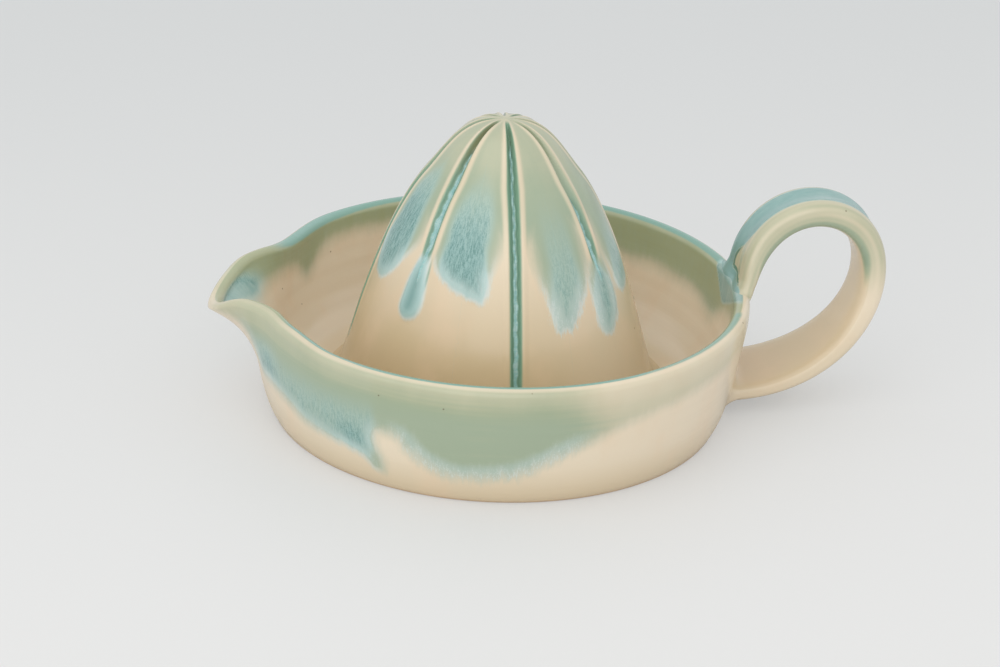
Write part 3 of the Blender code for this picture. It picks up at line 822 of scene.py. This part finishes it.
def strap_section(turn, from_rim, from_wall, over_lip):
    """The strap's outline, out of the loop and across, at distances from its ends and the lip."""
    near_rim = bell(from_rim, STRAP_RIM_BLEND)
    near_wall = bell(from_wall, STRAP_WALL_BLEND)
    width = STRAP_WIDTH + (STRAP_RIM_WIDTH - STRAP_WIDTH) * near_rim
    width = width + (STRAP_WALL_WIDTH - STRAP_WIDTH) * near_wall
    thickness = STRAP_THICKNESS + (STRAP_RIM_THICKNESS - STRAP_THICKNESS) * near_rim
    thickness = thickness + (STRAP_WALL_THICKNESS - STRAP_THICKNESS) * near_wall
    thickness = thickness * (1 - 0.55 * (1 - rise(over_lip, -6, 0)) * (from_rim < from_wall))
    ledge = STRAP_LEDGE_DEPTH * bell(over_lip, STRAP_LEDGE_LENGTH)
    across = width / 2 * np.sign(np.cos(turn)) * np.abs(np.cos(turn)) ** STRAP_FULLNESS
    fullness = np.abs(np.sin(turn)) ** STRAP_FULLNESS
    groove = STRAP_GROOVE_DEPTH * np.exp(-((2 * across / STRAP_GROOVE_WIDTH) ** 2))
    outer = (thickness / 2 + ledge) * fullness - groove
    return np.where(np.sin(turn) > 0, outer, -thickness / 2 * fullness), across


dense = np.linspace(0, tau, 4001)
outline = np.stack(strap_section(dense, *PLAIN_STRAP), 1)
outline_length = lengths(outline)
strap_turn = np.interp(np.arange(STRAP_LINES) / STRAP_LINES * outline_length[-1], outline_length, dense)
print("strap section:", round(outline_length[-1], 1), "mm round")

# %% Long lines of the strap
along = np.gradient(strap_path, axis=0)
along = along / np.hypot(*along.T)[:, None]
from_rim = strap_length[:, None]
from_wall = strap_length[-1] - from_rim
over_lip = np.where(from_rim < from_wall, strap_path[:, 1:] - LIP_CENTRE_HEIGHT, RIM_HEIGHT)
out, across = strap_section(strap_turn[None, :], from_rim, from_wall, over_lip)
wrap = np.maximum(bell(from_rim, STRAP_WRAP_LENGTH), bell(from_wall, STRAP_WRAP_LENGTH))
line_x = strap_path[:, :1] - along[:, 1:] * out - wrap * across**2 / (2 * RIM_RADIUS)
line_z = strap_path[:, 1:] + along[:, :1] * out
strap_lines = np.stack([line_x, across, line_z], 2)
edge_out = np.roll(out, -1, axis=1) - np.roll(out, 1, axis=1)
edge_across = np.roll(across, -1, axis=1) - np.roll(across, 1, axis=1)
edge = np.hypot(edge_out, edge_across)
normal_out = -edge_across / edge
normal_across = edge_out / edge

# %% Where each line meets the dish
wall_outline = dish_section[first_outside - 1 : last_inside + 3]
wall_outline = np.concatenate([wall_outline, [(FLOOR_OPENING_RADIUS, 0)]])


def off_dish(points):
    """Distance from each point to the dish's clay, negative inside it."""
    radius = np.hypot(points[..., 0], points[..., 1])
    return -depth_inside(radius, points[..., 2], wall_outline)


def settle(points, wanted):
    """Moves points towards or away from the dish until they are the wanted distance off it."""
    for _ in range(3):
        here = off_dish(points)
        radius = np.hypot(points[..., 0], points[..., 1])
        nudge = 0.05
        outwards = points * ((radius + nudge) / radius)[..., None]
        outwards[..., 2] = points[..., 2]
        slope_radius = (off_dish(outwards) - here) / nudge
        slope_height = (off_dish(points + (0, 0, nudge)) - here) / nudge
        size = np.maximum(slope_radius**2 + slope_height**2, 0.25)
        step = (wanted - here) / size
        radial = points[..., :2] / radius[..., None] * (slope_radius * step)[..., None]
        upright = (points[..., 2] + slope_height * step)[..., None]
        points = np.concatenate([points[..., :2] + radial, upright], -1)
    return points


line_off = off_dish(strap_lines)
middle_ring = len(strap_path) // 2
print("strap lines start", round(line_off[0].max(), 2), "and end", round(line_off[-1].max(), 2), "mm off it")

# %% Flare the ends of the strap
FLARE_STEPS = 12
RIM_FLARES = (0.7, 3.0, 2.2)
WALL_FLARES = (1.0, 5.0, 7.0)
BURIED_DEPTH = 0.7


def flare_radius(out_share, across_share, outer, inner, side):
    """How far a line of the strap spreads where it meets the dish, from the way it faces."""
    facing = np.where(out_share > 0, outer, inner)
    return facing * out_share**2 + side * across_share**2


def line_points(number, lengths_wanted, array):
    """Values of an array along one line of the strap, at the wanted lengths."""
    columns = array[:, number].reshape(len(strap_length), -1)
    return np.stack([np.interp(lengths_wanted, strap_length, column) for column in columns.T], 1)


def end_stations(number, radius, towards_rim):
    """Lengths where a line of the strap is at each step of its flare, furthest from the dish first."""
    order = slice(middle_ring, None, -1) if towards_rim else slice(middle_ring, None)
    gap = np.minimum.accumulate(line_off[order, number])
    place = strap_length[order]
    falling = gap + np.arange(len(gap)) * -1e-7
    wanted = radius * (1 - np.sin(np.linspace(0, pi / 2, FLARE_STEPS)))
    wanted = np.append(wanted, -BURIED_DEPTH)
    return np.interp(-wanted, -falling, place), wanted


strap_rings = FLARE_STEPS + 1 + STRAP_RINGS + FLARE_STEPS + 1
strap_points = np.zeros((strap_rings, STRAP_LINES, 3))
strap_along = np.zeros((strap_rings, STRAP_LINES))
strap_wanted = np.full((strap_rings, STRAP_LINES), np.nan)
spread = 1 - np.cos(np.append(np.linspace(0, pi / 2, FLARE_STEPS), pi / 2))
for number in range(STRAP_LINES):
    rim_radius = flare_radius(normal_out[RIM_STEP, number], normal_across[RIM_STEP, number], *RIM_FLARES)
    wall_radius = flare_radius(normal_out[WALL_STEP, number], normal_across[WALL_STEP, number], *WALL_FLARES)
    rim_place, rim_wanted = end_stations(number, rim_radius, True)
    wall_place, wall_wanted = end_stations(number, wall_radius, False)
    between = np.linspace(rim_place[0], wall_place[0], STRAP_RINGS + 2)[1:-1]
    place = np.concatenate([rim_place[::-1], between, wall_place])
    flare = np.concatenate([rim_radius * spread[::-1], np.zeros(STRAP_RINGS), wall_radius * spread])
    normals = line_points(number, place, np.stack([normal_out, normal_across], 2))
    tangents = np.stack([np.interp(place, strap_length, column) for column in along.T], 1)
    points = line_points(number, place, strap_lines)
    points[:, 0] -= tangents[:, 1] * normals[:, 0] * flare
    points[:, 1] += normals[:, 1] * flare
    points[:, 2] += tangents[:, 0] * normals[:, 0] * flare
    strap_points[:, number] = points
    strap_along[:, number] = place
    strap_wanted[: FLARE_STEPS + 1, number] = rim_wanted[::-1]
    strap_wanted[-FLARE_STEPS - 1 :, number] = wall_wanted
ends = np.r_[0 : FLARE_STEPS + 1, strap_rings - FLARE_STEPS - 1 : strap_rings]
strap_points[ends] = settle(strap_points[ends], strap_wanted[ends])
strap_points[..., 2] = np.maximum(strap_points[..., 2], LOWEST_CLAY)
print("flare ends at heights", strap_points[-2, :, 2].min().round(1), strap_points[-2, :, 2].max().round(1))

# %% Roll a grid up round the strap
CAP_RINGS = 4
bm = bmesh.new()
ring_layer = bm.verts.layers.int.new("ring")
line_layer = bm.verts.layers.int.new("order")
rows = strap_rings + CAP_RINGS
bmesh.ops.create_grid(bm, x_segments=STRAP_LINES, y_segments=rows - 1, size=0.5)
cap_centre = strap_points[-1].mean(axis=0)
for vert in bm.verts:
    column = round((vert.co.x + 0.5) * STRAP_LINES)
    row = round((vert.co.y + 0.5) * (rows - 1))
    vert[ring_layer] = min(row, strap_rings - 1)
    vert[line_layer] = column % STRAP_LINES
    vert.co = strap_points[min(row, strap_rings - 1), column % STRAP_LINES]
    if row >= strap_rings:
        share = (row - strap_rings + 1) / (CAP_RINGS + 1)
        vert.co = Vector(vert.co).lerp(Vector(cap_centre), share)
        reach = np.hypot(vert.co.x, vert.co.y)
        target = np.interp(vert.co.z, outside[:, 1], outside[:, 0]) - BURIED_DEPTH - 1.0
        vert.co = (vert.co.x * target / reach, vert.co.y * target / reach, vert.co.z)
bmesh.ops.remove_doubles(bm, verts=bm.verts, dist=1e-4)
open_edges = [edge for edge in bm.edges if edge.is_boundary]
bmesh.ops.holes_fill(bm, edges=open_edges, sides=0)
handle = to_mesh("handle_glazed", bm)
print("handle:", len(handle.vertices), "vertices from", rows, "rings")

# %% [markdown]
# ## Glaze on the handle
#
# The strap's outer face has a shallow groove where the glaze pooled pale blue, as far as the loop's far
# side. Its rounded edges shed the glaze and stay cream. The side edges are celadon, and the lower part and
# the inner face are bare of colour. A dark crease crosses its near half just above the rim.

# %% Glaze maps of the handle
ring_number = numbers(handle, "ring")
line_number = numbers(handle, "order")
spot = positions(handle)
facing_out = normal_out[PLAIN_STEP][line_number]
facing_side = normal_across[PLAIN_STEP][line_number]
side_across = spot[:, 1]
loop_angle = np.degrees(np.arctan2(spot[:, 2] - LOOP_CENTRE[1], spot[:, 0] - LOOP_CENTRE[0]))
loop_angle = np.where(loop_angle < -150, loop_angle + 360, loop_angle)
on_outer = rise(facing_out, 0.0, 0.5)
section_arc = np.interp(strap_turn, dense, outline_length)[line_number]
strap_place = strap_along[ring_number, line_number]
at_joint = rise(loop_angle, 125, 156)
band_middle = 0.5 + 6.5 * at_joint
band = 1 - rise(np.abs(side_across - band_middle), 3.0 - 0.6 * at_joint, 7.0 - 2.2 * at_joint)
crease_height = 41.4 + 0.1 * side_across - 0.25 * np.maximum(0, -6 - side_across)
near_rim = strap_place < strap_length[-1] / 3
past_crest = rise(np.hypot(spot[:, 0], side_across), 72, 75)
below_crease = (1 - rise(spot[:, 2] - crease_height, -0.6, 0.4)) * near_rim * (1 - past_crest)
pooled = np.maximum(band * on_outer * rise(loop_angle, 30, 58), below_crease * (facing_out > -0.4))
inner_edge = (1 - rise(facing_out, -0.55, 0.4)) * rise(np.abs(facing_side), 0.25, 0.7)
side_green = inner_edge * rise(loop_angle, 0, 38) * (1 - 0.6 * rise(loop_angle, 130, 160))
far_side = rise(side_across, 5, 8) * rise(loop_angle, 110, 140)
streaks = np.sin(1.4 * section_arc + 1.5 * np.sin(strap_place / 17))
streaks = streaks + 0.6 * np.sin(3.1 * section_arc + np.cos(strap_place / 9))
outer_wash = (0.43 + 0.06 * streaks) * rise(facing_out, -0.75, -0.3) * rise(loop_angle, -15, 35)
handle_body = np.maximum.reduce([pooled * 1.1, 0.95 * side_green, outer_wash, 0.9 * far_side])
handle_body = np.clip(handle_body, 0, 1)
end_pool = side_green * bell(loop_angle - 34, 30) * (side_across < 0)
crease = bell(spot[:, 2] - crease_height, 0.8) * near_rim
crease = crease * rise(side_across, -10, -6) * (1 - rise(side_across, 3, 4))
band_edge = bell(side_across - band_middle + 3.8, 0.9) * rise(loop_angle, 138, 152)
band_edge = band_edge * on_outer * (1 - below_crease)
dark_line = np.maximum(crease * (facing_out > -0.2), band_edge)
handle_line = np.maximum(0.25 * end_pool, dark_line)
handle_blue = rise(pooled, 0.1, 0.9) * (1 - rise(dark_line, 0, 0.5))
# Buff on the strap's inner face is partly its clay tone and partly painted shade; the lower loop is warmer
# too.
handle_warm = 0.1 + 0.3 * (1 - on_outer) * (facing_out < -0.3) + 0.25 * (1 - rise(loop_angle, -60, 0))
swell(handle, POOL_RELIEF * rise(pooled, 0.3, 0.8))
paint(
    handle,
    run=6.5 * rise(handle_body, 0.0, 0.25) - 3,
    body=handle_body,
    blue=handle_blue,
    olive=0.4 * (outer_wash > 0.02) * (1 - handle_blue) * (1 - side_green),
    line=handle_line,
    warm=handle_warm,
    flow=around(STRAP_FLOW_RADIUS, strap_turn[line_number], strap_place),
)
finish_piece(handle, "handle")

# %% [markdown]
# ## Formulas in shader nodes
#
# A glaze recipe is arithmetic on maps: where is the run, how thick is it, what does the noise add. Math
# nodes are hard to read in a graph, so a small class wraps a node's output, and `+ - *` on it add them.

# %% A wire that does sums


class Wire:
    """An output socket. Sums and products of wires add Math nodes to their tree."""

    def __init__(self, tree, socket=None):
        self.tree = tree
        self.socket = socket

    def node(self, kind, settings=None, inputs=None, output=0):
        """Adds a node: its settings first, then values or wires for its sockets."""
        made = self.tree.nodes.new(kind)
        for name, setting in (settings or {}).items():
            setattr(made, name, setting)
        for name, given in (inputs or {}).items():
            if isinstance(given, Wire):
                self.tree.links.new(given.socket, made.inputs[name])
            else:
                made.inputs[name].default_value = given
        return Wire(self.tree, made.outputs[output])

    def math(self, operation, first, second):
        return self.node("ShaderNodeMath", {"operation": operation}, {0: first, 1: second})

    def __add__(self, other):
        return self.math("ADD", self, other)

    __radd__ = __add__

    def __mul__(self, other):
        return self.math("MULTIPLY", self, other)

    __rmul__ = __mul__

    def __sub__(self, other):
        return self.math("SUBTRACT", self, other)

    def __rsub__(self, other):
        return self.math("SUBTRACT", other, self)

    def __truediv__(self, other):
        return self.math("DIVIDE", self, other)

    def size(self):
        return self.math("ABSOLUTE", self, 0.0)

    def most(self, other):
        return self.math("MAXIMUM", self, other)

    def step(self, low, high):
        """0 at low, 1 at high, and an S curve between them."""
        settings = {"interpolation_type": "SMOOTHSTEP"}
        return self.node("ShaderNodeMapRange", settings, {"Value": self, "From Min": low, "From Max": high})

    def colour(self, under, over):
        """The colour under, covered by the colour over as far as this wire says."""
        settings = {"data_type": "RGBA", "clamp_factor": True}
        return self.node("ShaderNodeMix", settings, {0: self, 6: under, 7: over}, 2)

    def map(self, name, vector=False):
        """An attribute of the mesh."""
        return self.node("ShaderNodeAttribute", {"attribute_name": name}, output=1 if vector else 2)

    def noise(self, place, stretch, detail=2):
        """Cloudy noise from 0 to 1, whose size along each axis is stretch, in the units of place."""
        scale = tuple(1 / length for length in stretch)
        scaled = self.node("ShaderNodeVectorMath", {"operation": "MULTIPLY"}, {0: place, 1: scale})
        inputs = {"Vector": scaled, "Scale": 1.0, "Detail": detail, "Roughness": 0.55, "Distortion": 0.0}
        return self.node("ShaderNodeTexNoise", None, inputs)


def rgb(text):
    """A colour for a shader from its six hex digits, as it should look in the picture."""
    shown = [int(text[place : place + 2], 16) / 255 for place in (0, 2, 4)]
    return (*[((part + 0.055) / 1.055) ** 2.4 if part > 0.04045 else part / 12.92 for part in shown], 1)


# %% [markdown]
# ## The glaze
#
# One recipe serves the three pieces, since they were dipped and fired together. From the clay up: a cream
# glaze, warmer where it is thin and darker as painted shade low down, in hollows and on shaded sides, with
# iron specks; a celadon wash;
# blue where it is thick, broken into fine vertical streaks; a white hem where it stopped; and dark green
# glass, deepened by painted shade, with a pale bead in the grooves.

# %% Colours of the glaze
CREAM = rgb("E5D7C0")
BUFF = rgb("C9B48F")
PEACH = rgb("E3C7A8")
PALE_CELADON = rgb("B1B497")
CELADON = rgb("9DAB93")
OLIVE = rgb("9FA783")
MOSS = rgb("8C8A66")
PALE_BLUE = rgb("A5C4C1")
BLUE = rgb("7AA19D")
DEEP_BLUE = rgb("58857F")
TEAL = rgb("82A99C")
GLASS_GREEN = rgb("7A9D84")
GLASS_SHADE = rgb("5F8373")
BEAD = rgb("8BB9B6")
FROST = rgb("D0D8D3")
SPECK = rgb("6B5C48")
BARE_CLAY = rgb("C7A67C")
SPECK_CELLS_PER_METRE = 170.0

# %% Mix the glaze


def glaze(name, banding, line_colour, mossy=False):
    """The juicer's glaze: how strongly throwing lines show, and the colour of rim, creases and grooves."""
    material = bpy.data.materials.new(name)
    material.use_nodes = True
    tree = material.node_tree
    shader = tree.nodes["Principled BSDF"]
    wire = Wire(tree)
    names = ("run", "crisp", "frost", "body", "blue", "olive", "line", "bead", "bare")
    run, crisp, frost, body, blue, olive, line, bead_half, bare = [wire.map(name) for name in names]
    flow = wire.map("flow", vector=True)
    place = wire.node("ShaderNodeTexCoord", output=3)

    streak = wire.noise(flow, (0.38, 0.38, 2.2))
    fringe = wire.noise(flow, (1.9, 1.9, 6.0))
    cloud = wire.noise(flow, (14.0, 14.0, 26.0), 3)
    grain = wire.noise(flow, (0.3, 0.3, 0.5))
    bands = wire.noise(flow, (60.0, 60.0, 1.5))

    jitter = (fringe - 0.5) * 5.0 + (streak - 0.5) * 2.6
    edge = run + jitter * wire.map("ragged") + (cloud - 0.5) * 1.5
    soft = 3.8 - 3.0 * crisp
    cover = (edge / soft * 0.5 + 0.5).step(0.0, 1.0)
    cover = cover * (body + (cloud - 0.5) * 0.3 * body).step(0.0, 0.75)

    # Buff where the glaze is thin, and as painted shade low down, in hollows and on shaded sides.
    clay = wire.map("warm").colour(CREAM, BUFF)
    clay = (cloud.step(0.45, 0.75) * 0.35).colour(clay, PEACH)
    thickness = body + (cloud - 0.5) * 0.5 + (bands - 0.5) * banding
    green = thickness.step(0.15, 0.95).colour(PALE_CELADON, CELADON)
    green = (olive * (0.5 + fringe * 0.6 + (bands - 0.5) * 0.4)).colour(green, OLIVE)
    broken = 1 - blue.step(0.92, 1.0)
    mottle = (streak * 0.6 + grain * 0.4).step(0.38, 0.62)
    water = (edge.step(0.8, 4.5) * blue.step(0.45, 0.95)).colour(PALE_BLUE, BLUE)
    water = (mottle * edge.step(1.2, 5.5) * broken * blue * 0.9).colour(water, DEEP_BLUE)
    water = ((1 - mottle) * broken * 0.3).colour(water, PALE_BLUE)
    blueness = (blue + (streak - 0.5) * 0.5 * blue + (fringe - 0.5) * 0.3 * blue).step(0.02, 0.95)
    coloured = blueness.colour(green, water)
    hem = (1 - edge.step(0.2, 1.4)) * crisp * (0.6 + streak * 0.5)
    coloured = hem.colour(coloured, FROST)
    surface = cover.colour(clay, coloured)
    wisps = edge.step(-1.6, 0.6) * (1 - edge.step(1.2, 6.5)) * (streak * 0.6 + grain * 0.4).step(0.44, 0.6)
    veil = cover * (1 - edge.step(0.2, 6.5)) * 0.45
    surface = ((wisps * 0.75).most(veil) * frost).colour(surface, FROST)

    line_cover = (line + (fringe - 0.5) * 0.4 * line + (streak - 0.5) * 0.3 * line).step(0.05, 0.7)
    line_tone = (blue * (0.5 + fringe)).colour(line_colour, PALE_BLUE)
    if mossy:
        line_tone = (olive * 0.9).colour(line_tone, MOSS)
    surface = line_cover.colour(surface, line_tone)
    rope = wire.noise(flow, (20.0, 20.0, 1.6))
    bead_edge = wire.map("across").size() - bead_half * (0.65 + rope * 0.7)
    bead_there = bead_half.step(0.02, 0.3)
    # Dark glass beside the bead is partly pooled glaze and partly painted shade on the groove's sides.
    bead_side_glass_and_shade = (1 - (bead_edge - 0.3).size().step(0.05, 0.5)) * bead_there * line * 0.6
    surface = bead_side_glass_and_shade.colour(surface, GLASS_SHADE)
    bead_cover = (1 - bead_edge.step(-0.2, 0.2)) * bead_there
    surface = bead_cover.colour(surface, (grain * 0.5 + rope * 0.5).step(0.42, 0.6).colour(BEAD, PALE_BLUE))

    grid = {"Vector": place, "Scale": SPECK_CELLS_PER_METRE}
    cells = wire.node("ShaderNodeTexVoronoi", {"feature": "F1"}, grid)
    picks = wire.node("ShaderNodeTexVoronoi", {"feature": "F1"}, grid, output=1)
    chosen = wire.node("ShaderNodeSeparateColor", None, {0: picks})
    speck = (1 - cells.step(0.02, 0.065)) * chosen.step(0.78, 0.8) * 0.8
    surface = speck.colour(surface, SPECK)
    surface = bare.colour(surface, BARE_CLAY)

    peel = wire.noise(place, (0.004, 0.004, 0.004))
    height = peel * 0.35 + bands * banding * 0.5 + cover * 0.4
    bump = wire.node("ShaderNodeBump", None, {"Strength": 0.25, "Distance": 0.0004, "Height": height})
    gloss = 0.20 + (cloud - 0.5) * 0.10 + bare * 0.5
    tree.links.new(surface.socket, shader.inputs["Base Color"])
    tree.links.new(gloss.socket, shader.inputs["Roughness"])
    tree.links.new(bump.socket, shader.inputs["Normal"])
    print(name, len(tree.nodes), "nodes")
    return material


dish.materials.append(glaze("cream_glaze", 0.75, TEAL))
reamer.materials.append(glaze("celadon_glaze", 0.15, GLASS_GREEN, mossy=True))
handle.materials.append(glaze("green_blue_glaze", 0.1, GLASS_SHADE))

# %% [markdown]
# ## Table, light and camera
#
# The juicer stands on a seamless pale table under a light tent: light from everywhere, a little more from
# above and the left. The camera stands 10 degrees left of the front, looks 24 down and is slightly rolled.

# %% Table
# The table, the lights and the camera are placed in metres.
TABLE_REACH = 6
TABLE_DROP = 0.00005

bm = bmesh.new()
bmesh.ops.create_grid(bm, x_segments=1, y_segments=1, size=TABLE_REACH)
bmesh.ops.translate(bm, verts=bm.verts, vec=(0, 0, -TABLE_DROP))
table = bpy.data.objects.new("table", to_mesh("table", bm))
link(table)

# %% Paper, darker towards the back as painted shade
FRONT_PAPER = rgb("E1E1E0")
SHADED_BACK_PAPER = rgb("CDCFCF")
SHADOW_LIFT = 0.5

paper = bpy.data.materials.new("pale_paper")
paper.use_nodes = True
wire = Wire(paper.node_tree)
place = wire.node("ShaderNodeTexCoord", output=3)
depth_back = wire.node("ShaderNodeSeparateXYZ", None, {0: place}, 1)
tone = depth_back.step(-0.25, 0.45).colour(FRONT_PAPER, SHADED_BACK_PAPER)
matt = wire.node("ShaderNodeBsdfPrincipled", None, {"Base Color": tone, "Roughness": 0.9})
# The paper also glows with its own colour for camera rays: painted light that lifts the shadow on it.
paper_glow = wire.node("ShaderNodeBsdfPrincipled", None, {"Base Color": (0, 0, 0, 1), "Emission Color": tone})
paper_glow.socket.node.inputs["Emission Strength"].default_value = 1.0
seen = wire.node("ShaderNodeLightPath") * SHADOW_LIFT
mixed = wire.node("ShaderNodeMixShader", None, {0: seen, 1: matt, 2: paper_glow})
paper.node_tree.links.new(mixed.socket, paper.node_tree.nodes["Material Output"].inputs["Surface"])
table.data.materials.append(paper)

# %% Light
TENT_STRENGTH = 0.92

world = bpy.data.worlds.new("light_tent")
scene.world = world
world.use_nodes = True
tent = world.node_tree.nodes["Background"].inputs
tent["Color"].default_value = rgb("F9FAFB")
tent["Strength"].default_value = TENT_STRENGTH


def softbox(name, position, aim, size, power, colour):
    """A square area light that looks at a point."""
    lamp = bpy.data.lights.new(name, "AREA")
    lamp.size = size
    lamp.energy = power
    lamp.color = colour[:3]
    made = bpy.data.objects.new(name, lamp)
    link(made)
    made.location = position
    made.rotation_euler = (Vector(aim) - Vector(position)).to_track_quat("-Z", "Y").to_euler()


softbox("overhead", (-0.5, -0.4, 1.5), (0, 0, 0.03), 1.2, 3.0, rgb("FFFDF8"))
softbox("left_panel", (-1.2, -0.9, 0.7), (0, 0, 0.04), 0.8, 2.0, rgb("FFFFFF"))
softbox("front_panel", (-0.4, -1.8, 0.8), (0, 0, 0.03), 1.6, 8.0, rgb("FFFDFA"))

# %% Camera
CAMERA_DISTANCE = 1.0
CAMERA_ELEVATION = radians(23.72)
CAMERA_YAW = radians(10)
CAMERA_ROLL = radians(2.56)
LENS_LENGTH = 120.28
LENS_SHIFT = (0.0007, -0.0425)
SENSOR_WIDTH = 36

target = Vector((DISH_AXIS_X, 0, LIP_CENTRE_HEIGHT / 1000))
level = Vector((-sin(CAMERA_YAW), -cos(CAMERA_YAW), 0)) * cos(CAMERA_ELEVATION)
lens = bpy.data.cameras.new("camera")
lens.sensor_width = SENSOR_WIDTH
lens.lens = LENS_LENGTH
lens.shift_x, lens.shift_y = LENS_SHIFT
camera = bpy.data.objects.new("camera", lens)
link(camera)
camera.location = target + (level + Vector((0, 0, sin(CAMERA_ELEVATION)))) * CAMERA_DISTANCE
aim = (target - camera.location).to_track_quat("-Z", "Y").to_matrix()
camera.rotation_euler = (aim @ Matrix.Rotation(CAMERA_ROLL, 3, "Z")).to_euler()
scene.camera = camera
scene.view_settings.view_transform = "Standard"
